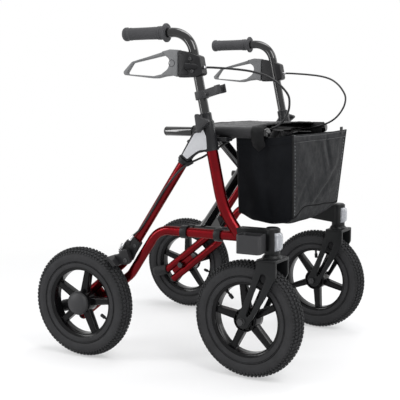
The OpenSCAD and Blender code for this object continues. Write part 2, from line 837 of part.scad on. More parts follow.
module brake_bracket() {
    mid = rear_at(bracket_mid_z);
    low = mid - main_dir * bracket_len / 2;
    high = mid + main_dir * bracket_len / 2;
    plate_y = bracket_face_y + bracket_plate_t / 2;
    pin_len = bracket_plate_t + arm_gap + arm_t;
    cable_foot = cable_route[len(cable_route) - 1];
    foot = [cable_foot[0], cable_foot[2]];
    foot_out = unit(arm_pivot + arm_crank - foot);
    color("#202022") {
        difference() {
            union() {
                bar(low, high, -frame_y, bracket_d);
                plate(plate_y, bracket_plate_t) polygon([low, arm_pivot - [0, arm_r], arm_pivot + [arm_r, 0],
                    high]);
                cross_bar(arm_pivot, plate_y, bracket_plate_t, 2 * arm_r);
            }
            bar(rear_corner, rear_tube_top, -frame_y, tube_d + 2 * seat_fit);
        }
        translate([arm_pivot[0], bracket_face_y + bracket_plate_t, arm_pivot[1]])
            rotate([90, 0, 0]) cylinder(h = pin_len, d = arm_pin_d);
        bar(foot + foot_out * cable_foot_fit, foot + foot_out * adjuster_len, cable_foot[1], adjuster_d);
    }
}

module brake_arm() {
    arm_y = bracket_face_y - arm_gap - arm_t / 2;
    shoe_in = arm_y + arm_t / 2;
    color("#2b2b2e") difference() {
        union() {
            plate(arm_y, arm_t) {
                polygon([arm_pivot + [0, arm_r], shoe_at + [0, shoe_d / 2], shoe_at - [0, shoe_d / 2],
                    arm_pivot - [0, arm_r]]);
                translate(arm_pivot) circle(arm_r);
                translate(shoe_at) circle(d = shoe_d);
                polygon([arm_pivot - [arm_r, 0], arm_pivot + [arm_r, 0],
                    arm_pivot + arm_crank + [arm_crank_r, 0], arm_pivot + arm_crank - [arm_crank_r, 0]]);
                translate(arm_pivot + arm_crank) circle(arm_crank_r);
            }
            cross_bar(shoe_at, shoe_in - shoe_len / 2, shoe_len, shoe_d);
        }
        cross_bar(arm_pivot, arm_y, arm_t + 2 * overrun, arm_pin_d + 2 * run_fit);
    }
}

// Smooth curve through the route's points
function spline_at(p, i, t) =
    let (a = p[max(i - 1, 0)], b = p[i], c = p[i + 1], d = p[min(i + 2, len(p) - 1)])
    (2 * b + (c - a) * t + (2 * a - 5 * b + 4 * c - d) * t * t + (3 * b - a - 3 * c + d) * t * t * t) / 2;
function route_at(p, s) = let (i = min(floor(s), len(p) - 2)) spline_at(p, i, s - i);

// A tube of constant diameter swept along a route
module swept_tube(route, d, rings, sides) {
    last = len(route) - 1;
    path = [for (k = [0:rings - 1]) route_at(route, last * k / (rings - 1))];
    along = [for (k = [0:rings - 1]) unit(path[min(k + 1, rings - 1)] - path[max(k - 1, 0)])];
    points = [for (k = [0:rings - 1], j = [0:sides - 1])
        let (u = unit(cross(along[k], [0, 1, 0])), v = cross(along[k], u), a = 360 * j / sides)
        path[k] + d / 2 * (cos(a) * u + sin(a) * v)];
    walls = [for (k = [0:rings - 2], j = [0:sides - 1], h = [0, 1])
        let (a = k * sides + j, b = k * sides + (j + 1) % sides)
        h == 0 ? [a, b, a + sides] : [b, b + sides, a + sides]];
    start = [for (j = [0:sides - 1]) sides - 1 - j];
    end = [for (j = [0:sides - 1]) (rings - 1) * sides + j];
    polyhedron(points, concat([start], walls, [end]));
}

module brake_cable() {
    color("#101012") swept_tube(cable_route, cable_d, cable_rings, cable_sides);
}

// Caster

module fork() {
    leg_dir = unit([head_x, crown_z - fork_side_drop] - front_axle_at);
    leg_side = [-leg_dir[1], leg_dir[0]];
    crown = [[head_x - fork_back, crown_z], [head_x + fork_front, crown_z]];
    shoulder = [head_x + fork_front, crown_z - fork_side_drop];
    leg_len = norm([head_x, crown_z - fork_side_drop] - front_axle_at);
    window_w = boss_r * window_share;
    color("#1d1d1f") difference() {
        union() {
            for (s = [-1, 1]) plate(-frame_y + s * (leg_in + leg_t / 2), leg_t) {
                polygon([crown[0], crown[1], shoulder, front_axle_at - leg_side * boss_r,
                    front_axle_at + leg_side * boss_r]);
                translate(front_axle_at) circle(boss_r);
            }
            plate(-frame_y, 2 * leg_out) polygon([crown[0], crown[1], shoulder + [0, fork_side_drop - crown_t],
                crown[0] - [0, crown_t]]);
            translate([head_x, -frame_y, crown_z]) cylinder(h = dome_h, r1 = dome_r, r2 = dome_r * dome_top_share);
        }
        plate(-frame_y, 2 * leg_out + 2 * overrun) polygon([
            front_axle_at + leg_dir * leg_len * window_low_share,
            front_axle_at + leg_dir * leg_len * window_high_share - leg_side * window_w,
            front_axle_at + leg_dir * leg_len * window_high_share + leg_side * window_w
        ]);
        cross_bar(front_axle_at, -frame_y, 2 * leg_out + 2 * overrun, axle_d + 2 * seat_fit);
        translate([head_x, -frame_y, crown_z - crown_t - overrun])
            cylinder(h = crown_t + dome_h + 2 * overrun, d = spindle_d + 2 * seat_fit);
    }
}

module caster_spindle() {
    color("silver") translate([head_x, -frame_y, crown_z - crown_t + spindle_foot])
        cylinder(h = head_top_z - crown_z + crown_t - 2 * spindle_foot, d = spindle_d);
}

module front_axle() {
    color("silver") {
        cross_bar(front_axle_at, -frame_y, 2 * (leg_out + axle_nut_h), axle_d);
        for (s = [-1, 1])
            translate([front_axle_at[0], -frame_y + s * (leg_out + axle_nut_h / 2 + seat_fit) + axle_nut_h / 2,
                front_axle_at[1]])
                rotate([90, 0, 0]) cylinder(h = axle_nut_h, r = axle_nut_r, $fn = 6);
        for (s = [-1, 1])
            cross_bar(front_axle_at, -frame_y + s * (leg_in + hub_w / 2) / 2, leg_in - hub_w / 2 - 2 * seat_fit,
                2 * shoulder_r);
        bearings(front_axle_at, -frame_y);
    }
}

// Wheels

module wheel_rim(at, y, valve_angle) {
    spoke_step = 360 / spoke_n;
    color("#1a1a1c") translate([at[0], y, at[1]]) rotate([90, 0, 0]) difference() {
        union() {
            rotate_extrude() polygon([[rim_in_r, -rim_inner_w / 2], [rim_r, -bead_w / 2], [rim_r, bead_w / 2],
                [rim_in_r, rim_inner_w / 2]]);
            cylinder(h = hub_w, r = hub_r, center = true);
            for (i = [0:spoke_n - 1]) rotate([0, 0, valve_angle + (i + valve_share) * spoke_step])
                linear_extrude(spoke_t, center = true) polygon([
                    [bearing_d / 2 + overrun, -spoke_root_w / 2], [rim_in_r + overrun, -spoke_w / 2],
                    [rim_in_r + overrun, spoke_w / 2], [bearing_d / 2 + overrun, spoke_root_w / 2]
                ]);
        }
        cylinder(h = hub_w + 2 * overrun, d = bearing_d + 2 * run_fit, center = true);
    }
}

// Section of the tyre, with a groove between each two rows of tread blocks
module tyre_section() {
    section_r = wheel_r - tyre_w / 2;
    difference() {
        translate([section_r, 0]) circle(d = tyre_w);
        translate([section_r, 0]) circle(d = tyre_w - 2 * tyre_wall);
        translate([0, -tyre_w]) square([rim_r + seat_fit, 2 * tyre_w]);
        for (a = tread_angles) translate([section_r, 0]) rotate([0, 0, a])
            translate([tyre_w / 2 - tread_depth, -tread_groove_w / 2]) square([tread_depth + overrun, tread_groove_w]);
    }
}

module wheel_tyre(at, y, valve_angle) {
    color("#3c3c3e") translate([at[0], y, at[1]]) rotate([90, 0, 0]) {
        rotate_extrude() tyre_section();
        rotate([0, 0, valve_angle]) translate([rim_in_r - valve_len - seat_fit, 0, 0]) rotate([0, 90, 0]) {
            cylinder(h = valve_tip_len, d = valve_tip_d);
            translate([0, 0, valve_tip_len]) cylinder(h = valve_len - valve_tip_len - seat_fit, d = valve_d);
        }
    }
}

module hub_cap() {
    nut_room = axle_nut_h + overrun;
    rim_in = axle_nut_r + overrun;
    color("#161617") translate([rear_axle_at[0], -rear_y - hub_w / 2 - seat_fit, rear_axle_at[1]])
        rotate([90, 0, 0]) rotate_extrude() polygon([
            [rim_in, 0], for (c = cap_shares) [c[0] * cap_r, c[1] * cap_h], [0, nut_room], [rim_in, nut_room]
        ]);
}

// Brace and seat

// A brace from the right lower pivot to the left rail, in the plane x
module brace(x) {
    pivot = [-pivot_y, pivot_z];
    rail = [rail_y, rail_z];
    slope = atan2(rail[1] - pivot[1], rail[0] - pivot[0]);
    length = norm(rail - pivot);
    tube_low = clamp_low_x + clamp_len + pivot_gap;
    tube_high = clamp_high_x - pivot_gap;
    color("#18181a") difference() {
        union() {
            difference() {
                translate([x, pivot[0], pivot[1]]) rotate([slope - 90, 0, 0])
                    linear_extrude(length) ring(brace_d, brace_d - 2 * brace_wall);
                translate([tube_low - overrun, pivot[0], pivot[1]]) rotate([0, 90, 0])
                    cylinder(h = tube_high - tube_low + 2 * overrun, d = pivot_tube_d - 2 * brace_wall);
            }
            translate([tube_low, pivot[0], pivot[1]]) rotate([0, 90, 0])
                cylinder(h = tube_high - tube_low, d = pivot_tube_d);
            translate([0, pivot[0], pivot[1]]) rotate([slope - 90, 0, 0]) rotate([90, 0, 0])
                linear_extrude(brace_gusset_t, center = true) polygon([
                    [tube_low, 0], [tube_high, 0], [x + brace_d / 2, brace_gusset_len],
                    [x - brace_d / 2, brace_gusset_len]
                ]);
            translate([x, scissor_at[0], scissor_at[1]]) rotate([0, 90, 0])
                cylinder(h = brace_d + pivot_gap, d = scissor_head_d, center = true);
        }
        translate([tube_low - overrun, pivot[0], pivot[1]]) rotate([0, 90, 0])
            cylinder(h = tube_high - tube_low + 2 * overrun, d = pivot_pin_d + 2 * run_fit);
        translate([rail_rear_x, rail[0], rail[1]]) rotate([0, 90, 0])
            cylinder(h = rail_len, d = rail_d + 2 * seat_fit);
        translate([x, scissor_at[0], scissor_at[1]]) rotate([0, 90, 0])
            cylinder(h = 2 * brace_d, d = scissor_bolt_d + 2 * run_fit, center = true);
    }
}

module scissor_bolt() {
    low = brace_a_x - brace_d / 2 - pivot_gap;
    high = brace_b_x + brace_d / 2 + pivot_gap;
    color("silver") translate([0, scissor_at[0], scissor_at[1]]) rotate([0, 90, 0]) {
        translate([0, 0, low]) cylinder(h = high - low, d = scissor_bolt_d);
        translate([0, 0, low - scissor_head_h]) cylinder(h = scissor_head_h, d = scissor_head_d);
        translate([0, 0, high]) cylinder(h = scissor_head_h, d = scissor_head_d);
    }
}

module brace_a() {
    brace(brace_a_x);
    scissor_bolt();
}

module brace_b() {
    mirror([0, 1, 0]) brace(brace_b_x);
}

module seat_rail() {
    color("#141416") translate([rail_rear_x, -rail_y, rail_z]) rotate([0, 90, 0]) {
        linear_extrude(rail_len) ring(rail_d, rail_d - 2 * rail_wall);
        for (s = [0, 1]) translate([0, 0, s * rail_len]) rotate([s == 0 ? 180 : 0, 0, 0]) {
            translate([0, 0, seat_fit]) cylinder(h = rail_cap_len / 2, d = rail_d);
            translate([0, 0, seat_fit + rail_cap_len / 2])
                cylinder(h = rail_cap_len / 2, d1 = rail_d, d2 = rail_d * rail_cap_nose_share);
            translate([0, 0, -rail_cap_spigot])
                cylinder(h = rail_cap_spigot + rail_cap_len / 2, d = rail_d - 2 * rail_wall - 2 * seat_fit);
        }
    }
}

// Crowned cross section of the seat, as [y, z], out to half width w
module seat_section(w) {
    base = rail_z + rail_d / 2 + seat_lift;
    crown = [for (i = [0:seat_points_n]) let (s = 1 - 2 * i / seat_points_n)
        [s * w, base + seat_edge + seat_crown * (1 - s * s)]];
    polygon(concat([[-w, base], [w, base]], crown));
}

module seat_sling() {
    wrap_in = rail_d / 2 + seat_wrap_fit;
    wrap_out = wrap_in + seat_wrap_t;
    color("#0f0f10") rotate([90, 0, 90]) {
        translate([0, 0, seat_rear_x]) linear_extrude(seat_wrap_x - seat_rear_x) seat_section(rail_y);
        translate([0, 0, seat_wrap_rear_x]) linear_extrude(seat_wrap_x - seat_wrap_rear_x)
            for (s = [-1, 1]) difference() {
                translate([s * rail_y, rail_z]) circle(wrap_out);
                translate([s * rail_y, rail_z]) circle(wrap_in);
                translate([s * (rail_y - wrap_out) - wrap_out, rail_z - 2 * wrap_out])
                    square([2 * wrap_out, 4 * wrap_out]);
            }
        translate([0, 0, seat_wrap_x]) linear_extrude(seat_front_x - seat_wrap_x) seat_section(seat_inner_y);
    }
}

// Bag

// A tapered block with its eight corners drawn in by t
module bag_block(t, lift) {
    corners = [
        [bag_low_rear_x + t, bag_low_w / 2 - t, bag_low_z + t],
        [bag_low_front_x - t, bag_low_w / 2 - t, bag_low_z + t],
        [bag_front_x - t, bag_top_w / 2 - t, bag_top_z + lift],
        [bag_rear_x + t, bag_top_w / 2 - t, bag_rear_z + lift]
    ];
    hull() for (c = corners, s = [-1, 1]) translate([c[0], s * c[1], c[2]]) cube(seat_fit, center = true);
}

module bag() {
    color("#131314") {
        difference() {
            bag_block(0, 0);
            bag_block(bag_wall, overrun);
        }
        for (s = [-1, 1], x = loop_x) {
            translate([x - loop_w / 2, s * rail_y, rail_z]) rotate([0, 90, 0])
                linear_extrude(loop_w)
                    ring(rail_d + 2 * loop_fit + 2 * loop_t, rail_d + 2 * loop_fit);
            translate([x - loop_w / 2, s * (bag_top_w / 2 - bag_wall / 2) - bag_wall / 2,
                rail_z - rail_d / 2 - loop_fit - loop_t - loop_lap])
                cube([loop_w, bag_wall, loop_lap + loop_t / 2]);
        }
    }
}

// Cane holder

module cane_clip() {
    ring_d = stem_d + 2 * clip_ring_wall;
    hook_d = 2 * (clip_r + clip_wall);
    arm_turn = atan2(-clip_out, clip_fore);
    color("#141415") on_stem(clip_z) translate([0, 0, -clip_h / 2]) difference() {
        union() {
            cylinder(h = clip_h, d = ring_d);
            rotate([0, 0, arm_turn]) translate([0, -clip_arm_w / 2, 0])
                cube([norm([clip_fore, clip_out]), clip_arm_w, clip_h]);
            translate([clip_fore, -clip_out, 0]) cylinder(h = clip_h, d = hook_d);
        }
        translate([0, 0, -overrun]) cylinder(h = clip_h + 2 * overrun, d = stem_d + 2 * seat_fit);
        translate([clip_fore, -clip_out, -overrun]) cylinder(h = clip_h + 2 * overrun, r = clip_r);
        translate([clip_fore, -clip_out, -overrun]) rotate([0, 0, arm_turn])
            translate([0, -clip_r * clip_mouth_share, 0])
                cube([hook_d, 2 * clip_r * clip_mouth_share, clip_h + 2 * overrun]);
    }
}

module cane_cup() {
    outer_y = -frame_y - cast_w / 2 - cup_gap - cup_w;
    color("#171718") translate([cup_x, outer_y, cup_low_z]) difference() {
        linear_extrude(cup_h) round_rect(cup_len, cup_w, cup_round);
        translate([cup_wall, cup_wall, cup_wall])
            linear_extrude(cup_h) round_rect(cup_len - 2 * cup_wall, cup_w - 2 * cup_wall, cup_round - cup_wall);
    }
}

// Drawing of the named pieces

for (side = SIDES) {
    rear_valve = side == "right" ? right_rear_valve : left_rear_valve;
    front_valve = side == "right" ? right_front_valve : left_front_valve;
    at_side(side) front_tube();
    at_side(side) lower_tube();
    at_side(side) rear_tube();
    at_side(side) axle_plate();
    at_side(side) rear_axle();
    at_side(side) top_joint();
    at_side(side) reflectors();
    at_side(side) front_joint();
    at_side(side) tube_plugs();
    at_side(side) brace_clamps();
    at_side(side) brake_bracket();
    at_side(side) brake_cable();
    at_side(side) handle_tube();
    at_side(side) grip();
    at_side(side) brake_housing();
    at_side(side) brake_lever();
    at_side(side) brake_arm();
    at_side(side) height_knob();
    at_side(side) turned(side) fork();
    at_side(side) turned(side) caster_spindle();
    at_side(side) turned(side) front_axle();
    at_side(side) turned(side) wheel_rim(front_axle_at, -frame_y, front_valve);
    at_side(side) turned(side) wheel_tyre(front_axle_at, -frame_y, front_valve);
    at_side(side) wheel_rim(rear_axle_at, -rear_y, rear_valve);
    at_side(side) wheel_tyre(rear_axle_at, -rear_y, rear_valve);
    at_side(side) hub_cap();
    at_side(side) seat_rail();
}
brace_a();
brace_b();
seat_sling();
bag();
cane_clip();
cane_cup();
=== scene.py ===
import math

import bmesh
import bpy
from mathutils import Matrix, Vector, noise


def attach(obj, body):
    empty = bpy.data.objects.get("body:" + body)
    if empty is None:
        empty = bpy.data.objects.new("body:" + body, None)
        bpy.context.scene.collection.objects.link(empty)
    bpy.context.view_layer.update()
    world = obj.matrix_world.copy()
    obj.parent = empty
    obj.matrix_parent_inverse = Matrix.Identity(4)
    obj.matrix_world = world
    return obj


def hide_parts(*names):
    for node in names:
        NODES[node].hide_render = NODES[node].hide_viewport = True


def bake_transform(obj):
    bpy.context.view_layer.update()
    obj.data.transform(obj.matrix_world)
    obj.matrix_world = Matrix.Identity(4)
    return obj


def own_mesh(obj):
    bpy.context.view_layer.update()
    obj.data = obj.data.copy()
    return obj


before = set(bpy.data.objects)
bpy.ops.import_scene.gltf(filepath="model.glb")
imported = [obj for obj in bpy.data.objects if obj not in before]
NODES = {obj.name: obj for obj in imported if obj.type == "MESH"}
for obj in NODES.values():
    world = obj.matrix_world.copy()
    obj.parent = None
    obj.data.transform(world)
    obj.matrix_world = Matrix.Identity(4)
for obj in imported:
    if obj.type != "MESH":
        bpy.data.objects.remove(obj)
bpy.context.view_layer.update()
MM = 0.001
SIDES = ("right", "left")

# Sizes shared with the CAD model, in millimetres. Pieces are drawn for the right side, which lies at -Y
FRAME_Y, REAR_Y = 267.0, 310.0
HEAD_X, AXLE_X = 309.5, 242.5
WHEEL_R, TYRE_W, RIM_R = 155.0, 52.0, 113.0
REAR_HUB, FRONT_HUB = (-AXLE_X, -REAR_Y, WHEEL_R), (AXLE_X, -FRAME_Y, WHEEL_R)
CASTER_TURN, STEM_LEAN, MAIN_LEAN = math.radians(-4.5), math.radians(12.0), math.radians(33.6)
# Top of the stem's collar, and the rear tube's ends in the top joint, as (x, z)
COLLAR, REAR_LOW, APEX = (118.5, 683.0), (53.3, 552.0), (123.8, 658.2)
RAIL_Y, RAIL_Z = 225.0, 634.0
LEVER_Y = FRAME_Y + 5.0
# Angle of each wheel's valve in degrees
VALVES = {"right_rear": -29.5, "right_front": 135.0, "left_front": 94.0, "left_rear": -18.0}

scene = bpy.context.scene
scene.view_settings.view_transform = "Standard"

# Camera at the photograph's place in metres, with its tilt down and its turn in degrees
CAMERA_AT, CAMERA_DOWN, CAMERA_TURN = (1.07667, -2.13687, 0.72112), 7.138, 27.494
camera_data = bpy.data.cameras.new("camera")
camera_data.sensor_width = 36.0
camera_data.lens = 72.87
camera = bpy.data.objects.new("camera", camera_data)
camera.location = CAMERA_AT
camera.rotation_euler = (math.radians(90.0 - CAMERA_DOWN), 0.0, math.radians(CAMERA_TURN))
scene.collection.objects.link(camera)
scene.camera = camera


# Materials

# Roughness varies by this much either way, in a texture so many times finer than the colour's
ROUGH_SPREAD, FINE_TIMES = 0.06, 7.0
CLOTH_SPREAD, WAVE_SHARE, FLAKES = 0.08, 3.2, 2600.0


def add(nt, kind, inputs, **settings):
    """A new shader node. Each input is a value or another node's output."""
    n = nt.nodes.new("ShaderNode" + kind)
    for name, value in settings.items():
        setattr(n, name, value)
    for name, value in inputs.items():
        if isinstance(value, bpy.types.NodeSocket):
            nt.links.new(value, n.inputs[name])
        else:
            n.inputs[name].default_value = value
    return n


def blank(owner):
    """The emptied node tree of a new material or world."""
    owner.use_nodes = True
    owner.node_tree.nodes.clear()
    return owner.node_tree


def shader(name):
    """A new material with its node tree and object coordinates."""
    m = bpy.data.materials.new(name)
    nt = blank(m)
    return m, nt, add(nt, "TexCoord", {}).outputs["Object"]


def surface(nt, inputs):
    """Shows a principled shader with these inputs."""
    bsdf = add(nt, "BsdfPrincipled", inputs)
    add(nt, "OutputMaterial", {"Surface": bsdf.outputs[0]})


def noise_node(nt, coord, scale, detail=3.0, rough=0.5):
    """A cloudy texture."""
    inputs = {"Vector": coord, "Scale": scale, "Detail": detail, "Roughness": rough}
    return add(nt, "TexNoise", inputs).outputs["Fac"]


def span(nt, value, low, high, start=0.3, end=0.7):
    """Maps a texture from start..end to low..high."""
    inputs = {"Value": value, "From Min": start, "From Max": end, "To Min": low, "To Max": high}
    return add(nt, "MapRange", inputs).outputs["Result"]


def tint(nt, factor, dark, light):
    """A colour between dark and light."""
    inputs = {"Factor": factor, "A": (*dark, 1.0), "B": (*light, 1.0)}
    return add(nt, "Mix", inputs, data_type="RGBA").outputs["Result"]


def largest(nt, values):
    """The largest of several outputs."""
    top = values[0]
    for value in values[1:]:
        top = add(nt, "Math", {0: top, 1: value}, operation="MAXIMUM").outputs[0]
    return top


def bump(nt, height, strength, distance, **before):
    """Raises the surface by a texture, on top of an earlier bump if there is one."""
    inputs = {"Height": height, "Strength": strength, "Distance": distance, **before}
    return add(nt, "Bump", inputs).outputs[0]


def finish(name, colour, rough, metal=0.0, coat=0.0, vary=0.18, mottle=9.0, grain=None, sheen=0.0, shine=0.5):
    """A moulded or metal surface: mottled colour, uneven roughness and a grain (scale, strength, depth)."""
    m, nt, coord = shader(name)
    shade = span(nt, noise_node(nt, coord, mottle, detail=4.0, rough=0.6), 0.0, 1.0)
    dark, light = [c * (1 - vary) for c in colour], [c * (1 + vary) for c in colour]
    fine = noise_node(nt, coord, mottle * FINE_TIMES, rough=0.6)
    inputs = {"Base Color": tint(nt, shade, dark, light), "Metallic": metal, "Sheen Weight": sheen,
              "Roughness": span(nt, fine, rough - ROUGH_SPREAD, rough + ROUGH_SPREAD),
              "Coat Weight": coat, "Coat Roughness": 0.06, "Specular IOR Level": shine}
    if grain:
        scale, strength, depth = grain
        inputs["Normal"] = bump(nt, noise_node(nt, coord, scale, detail=2.0), strength, depth)
    surface(nt, inputs)
    return m


def woven(name, dark, light, rough, pitch, sheen, shine):
    """Coated nylon: crossed sets of threads, soft mottling and broad creases."""
    m, nt, coord = shader(name)
    cloud = noise_node(nt, coord, scale=14.0, detail=5.0, rough=0.65)
    fine = noise_node(nt, coord, scale=60.0)
    wave = {"Vector": coord, "Scale": 1.0 / (pitch * WAVE_SHARE), "Distortion": 0.4}
    threads = [add(nt, "TexWave", wave, bands_direction=way).outputs["Fac"] for way in "XYZ"]
    weave = bump(nt, largest(nt, threads), strength=0.35, distance=pitch / 2)
    creases = noise_node(nt, coord, scale=30.0, detail=4.0, rough=0.55)
    surface(nt, {"Base Color": tint(nt, span(nt, cloud, 0.0, 1.0), dark, light),
                 "Roughness": span(nt, fine, rough - CLOTH_SPREAD, rough + CLOTH_SPREAD),
                 "Sheen Weight": sheen, "Sheen Roughness": 0.5, "Specular IOR Level": shine,
                 "Normal": bump(nt, creases, strength=0.2, distance=0.003, Normal=weave)})
    return m


def candy(name):
    """Red candy paint: metal flake under a clear coat, darker in patches."""
    m, nt, coord = shader(name)
    flake = add(nt, "TexVoronoi", {"Vector": coord, "Scale": FLAKES}).outputs["Distance"]
    cloud = span(nt, noise_node(nt, coord, scale=16.0), 0.0, 1.0)
    surface(nt, {"Base Color": tint(nt, cloud, dark=(0.10, 0.001, 0.003), light=(0.15, 0.002, 0.005)),
                 "Roughness": span(nt, flake, 0.22, 0.36, start=0.0, end=0.8), "Metallic": 0.9,
                 "Specular Tint": (0.6, 0.05, 0.06, 1.0), "Coat Weight": 0.16, "Coat Roughness": 0.03,
                 "Normal": bump(nt, flake, strength=0.04, distance=0.0003)})
    return m


# Grains that several materials share: scale, strength and depth
MOULD = (520.0, 0.16, 0.0008)
COARSE = (520.0, 0.18, 0.0008)
BRUSHED = (600.0, 0.08, 0.0004)
TYRE_GRAIN = (210.0, 0.22, 0.0009)
RED = candy("red_paint")
GLOSS_BLACK = finish("gloss_black", (0.004, 0.004, 0.0045), 0.08, shine=0.44, coat=0.25,
                     grain=(900.0, 0.03, 0.0003))
ARM_PLASTIC = finish("arm_plastic", (0.0115, 0.0115, 0.0125), 0.42, shine=0.25, grain=MOULD)
CAST = finish("black_casting", (0.007, 0.0075, 0.008), 0.38, shine=0.2, grain=(420.0, 0.16, 0.0008))
STEEL = finish("zinc_steel", (0.60, 0.60, 0.61), 0.28, metal=1.0, vary=0.1, grain=BRUSHED)
BOLT = finish("black_zinc", (0.05, 0.05, 0.052), 0.34, metal=0.7, vary=0.15, grain=BRUSHED)
BLACK = finish("black_plastic", (0.0085, 0.0085, 0.0095), 0.42, shine=0.2, grain=COARSE)
CUP = finish("cup_plastic", (0.03, 0.03, 0.032), 0.46, shine=0.28, grain=COARSE)
GREY = finish("grey_plastic", (0.145, 0.147, 0.15), 0.46, shine=0.3, grain=MOULD)
TIP = finish("tip_rubber", (0.012, 0.012, 0.013), 0.6, shine=0.25, grain=(300.0, 0.2, 0.0008))
CAP = finish("cap_plastic", (0.024, 0.024, 0.0255), 0.46, shine=0.3, grain=MOULD)
JOINT = finish("joint_plastic", (0.010, 0.0102, 0.0114), 0.3, shine=0.22, grain=(480.0, 0.12, 0.0007))
PANEL = finish("panel_grey", (0.45, 0.455, 0.47), 0.42, vary=0.05, grain=(300.0, 0.08, 0.0006))
LENS = finish("reflector_lens", (0.29, 0.3, 0.32), 0.2, coat=0.5, vary=0.15, mottle=160.0)
RUBBER = finish("grip_rubber", (0.042, 0.042, 0.045), 0.66, shine=0.3, sheen=0.06, grain=(240.0, 0.3, 0.0009))
TYRE = finish("tyre_rubber", (0.020, 0.020, 0.0213), 0.72, vary=0.25, shine=0.28, mottle=22.0,
              grain=TYRE_GRAIN)
TREAD = finish("tread_rubber", (0.0165, 0.017, 0.018), 0.7, vary=0.25, shine=0.28, mottle=22.0,
               grain=TYRE_GRAIN)
RIM = finish("rim_plastic", (0.004, 0.004, 0.0045), 0.16, shine=0.15, grain=(380.0, 0.14, 0.0008))
SHEATH = finish("cable_sheath", (0.010, 0.010, 0.011), 0.4, shine=0.3, grain=(900.0, 0.1, 0.0004))
CLOTH = woven("bag_cloth", (0.0036, 0.0041, 0.0052), (0.0066, 0.0072, 0.0087), rough=0.5, pitch=0.0016,
              sheen=0.006, shine=0.055)
SEAT = woven("seat_cloth", (0.011, 0.011, 0.012), (0.019, 0.019, 0.0205), rough=0.42, pitch=0.0018,
             sheen=0.05, shine=0.22)
WEBBING = woven("webbing", (0.004, 0.0042, 0.0046), (0.007, 0.0072, 0.0078), rough=0.55, pitch=0.0011,
                sheen=0.03, shine=0.12)
THREAD = finish("thread", (0.05, 0.05, 0.053), 0.6, shine=0.3)
HEM_THREAD = finish("hem_thread", (0.13, 0.13, 0.135), 0.6, shine=0.3)
PALE_THREAD = finish("pale_thread", (0.34, 0.36, 0.37), 0.6, shine=0.3)
# Painted shade: a near-black line laid along the bag's lower front fold, where the fold's shadow falls
FOLD_SHADOW = finish("painted_fold_shadow", (0.0016, 0.0016, 0.0018), 0.8, shine=0.04)


# Mesh helpers: all take and give millimetres in the part's frame, for the right side

def emit(name, geo, material, body, side=None, turn=False, replaces=(), sharp=38.0):
    """Makes one piece from (points, faces).

    A side adds its name and mirrors the left copy, and turn swivels it with the caster.
    """
    points, faces = geo
    prefix = side + "_" if side else ""
    if side == "left":
        points = [(p[0], -p[1], p[2]) for p in points]
        faces = [f[::-1] for f in faces]
    if turn:
        head = Vector((HEAD_X, FRAME_Y if side == "left" else -FRAME_Y, 0.0))
        swivel = Matrix.Rotation(CASTER_TURN, 3, "Z")
        points = [swivel @ (Vector(p) - head) + head for p in points]
    mesh = bpy.data.meshes.new(prefix + name)
    mesh.from_pydata([Vector(p) * MM for p in points], [], [tuple(f) for f in faces])
    mesh.validate()
    mesh.materials.append(material)
    mesh.polygons.foreach_set("use_smooth", [True] * len(mesh.polygons))
    mesh.set_sharp_from_angle(angle=math.radians(sharp))
    o = bpy.data.objects.new(prefix + name, mesh)
    scene.collection.objects.link(o)
    if body:
        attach(o, prefix + body)
    if replaces:
        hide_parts(*[prefix + r for r in replaces])
    return o


def join(*parts):
    """Several shapes as one."""
    points, faces = [], []
    for p, f in parts:
        base = len(points)
        points += list(p)
        faces += [tuple(base + i for i in face) for face in f]
    return points, faces


def revolve(profile, n=64, at=(0.0, 0.0, 0.0), axis="y"):
    """Turns a profile of (radius, height) about an axis through at; height runs to -Y, or along Z or X."""
    points, faces = [], []
    count = len(profile)
    for i in range(n):
        a = 2 * math.pi * i / n
        c, s = math.cos(a), math.sin(a)
        for r, h in profile:
            local = {"y": (r * c, -h, r * s), "z": (r * c, r * s, h), "x": (h, r * c, r * s)}[axis]
            points.append(tuple(at[k] + local[k] for k in range(3)))
    for i in range(n):
        j = (i + 1) % n
        for k in range(count):
            m = (k + 1) % count
            faces.append((i * count + k, i * count + m, j * count + m, j * count + k))
    return tidy(points, faces)


def tidy(points, faces, distance=1e-4):
    """Merges doubled points, drops thin faces and turns the normals outwards."""
    bm = bmesh.new()
    made = [bm.verts.new(p) for p in points]
    for f in faces:
        bm.faces.new([made[i] for i in f])
    bmesh.ops.remove_doubles(bm, verts=bm.verts, dist=distance)
    bmesh.ops.dissolve_degenerate(bm, edges=bm.edges, dist=distance)
    bmesh.ops.recalc_face_normals(bm, faces=bm.faces)
    bm.verts.index_update()
    out = [tuple(v.co) for v in bm.verts], [tuple(v.index for v in f.verts) for f in bm.faces]
    bm.free()
    return out


# A corner this close to straight, in radians, stays as it is, and a round takes up to this share of an edge
STRAIGHT, ROUND_SHARE, TINY = 0.02, 0.49, 1e-6


def fillet(corners, steps=6):
    """Rounds a closed outline of (x, z, radius) corners."""
    out, n = [], len(corners)
    for i, (x, z, radius) in enumerate(corners):
        p = Vector((x, z))
        a = Vector(corners[i - 1][:2]) - p
        b = Vector(corners[(i + 1) % n][:2]) - p
        if radius <= 0 or min(a.length, b.length) < TINY:
            out.append((x, z))
            continue
        a_dir, b_dir = a.normalized(), b.normalized()
        half = math.acos(max(-1.0, min(1.0, a_dir.dot(b_dir)))) / 2
        if half > math.pi / 2 - STRAIGHT:
            out.append((x, z))
            continue
        cut = min(radius / math.tan(half), a.length * ROUND_SHARE, b.length * ROUND_SHARE)
        r = cut * math.tan(half)
        centre = p + (a_dir + b_dir).normalized() * (r / math.sin(half))
        start, end = p + a_dir * cut - centre, p + b_dir * cut - centre
        turn = start.angle_signed(end)
        for k in range(steps + 1):
            t = -turn * k / steps
            out.append((centre.x + start.x * math.cos(t) - start.y * math.sin(t),
                        centre.y + start.x * math.sin(t) + start.y * math.cos(t)))
    return out


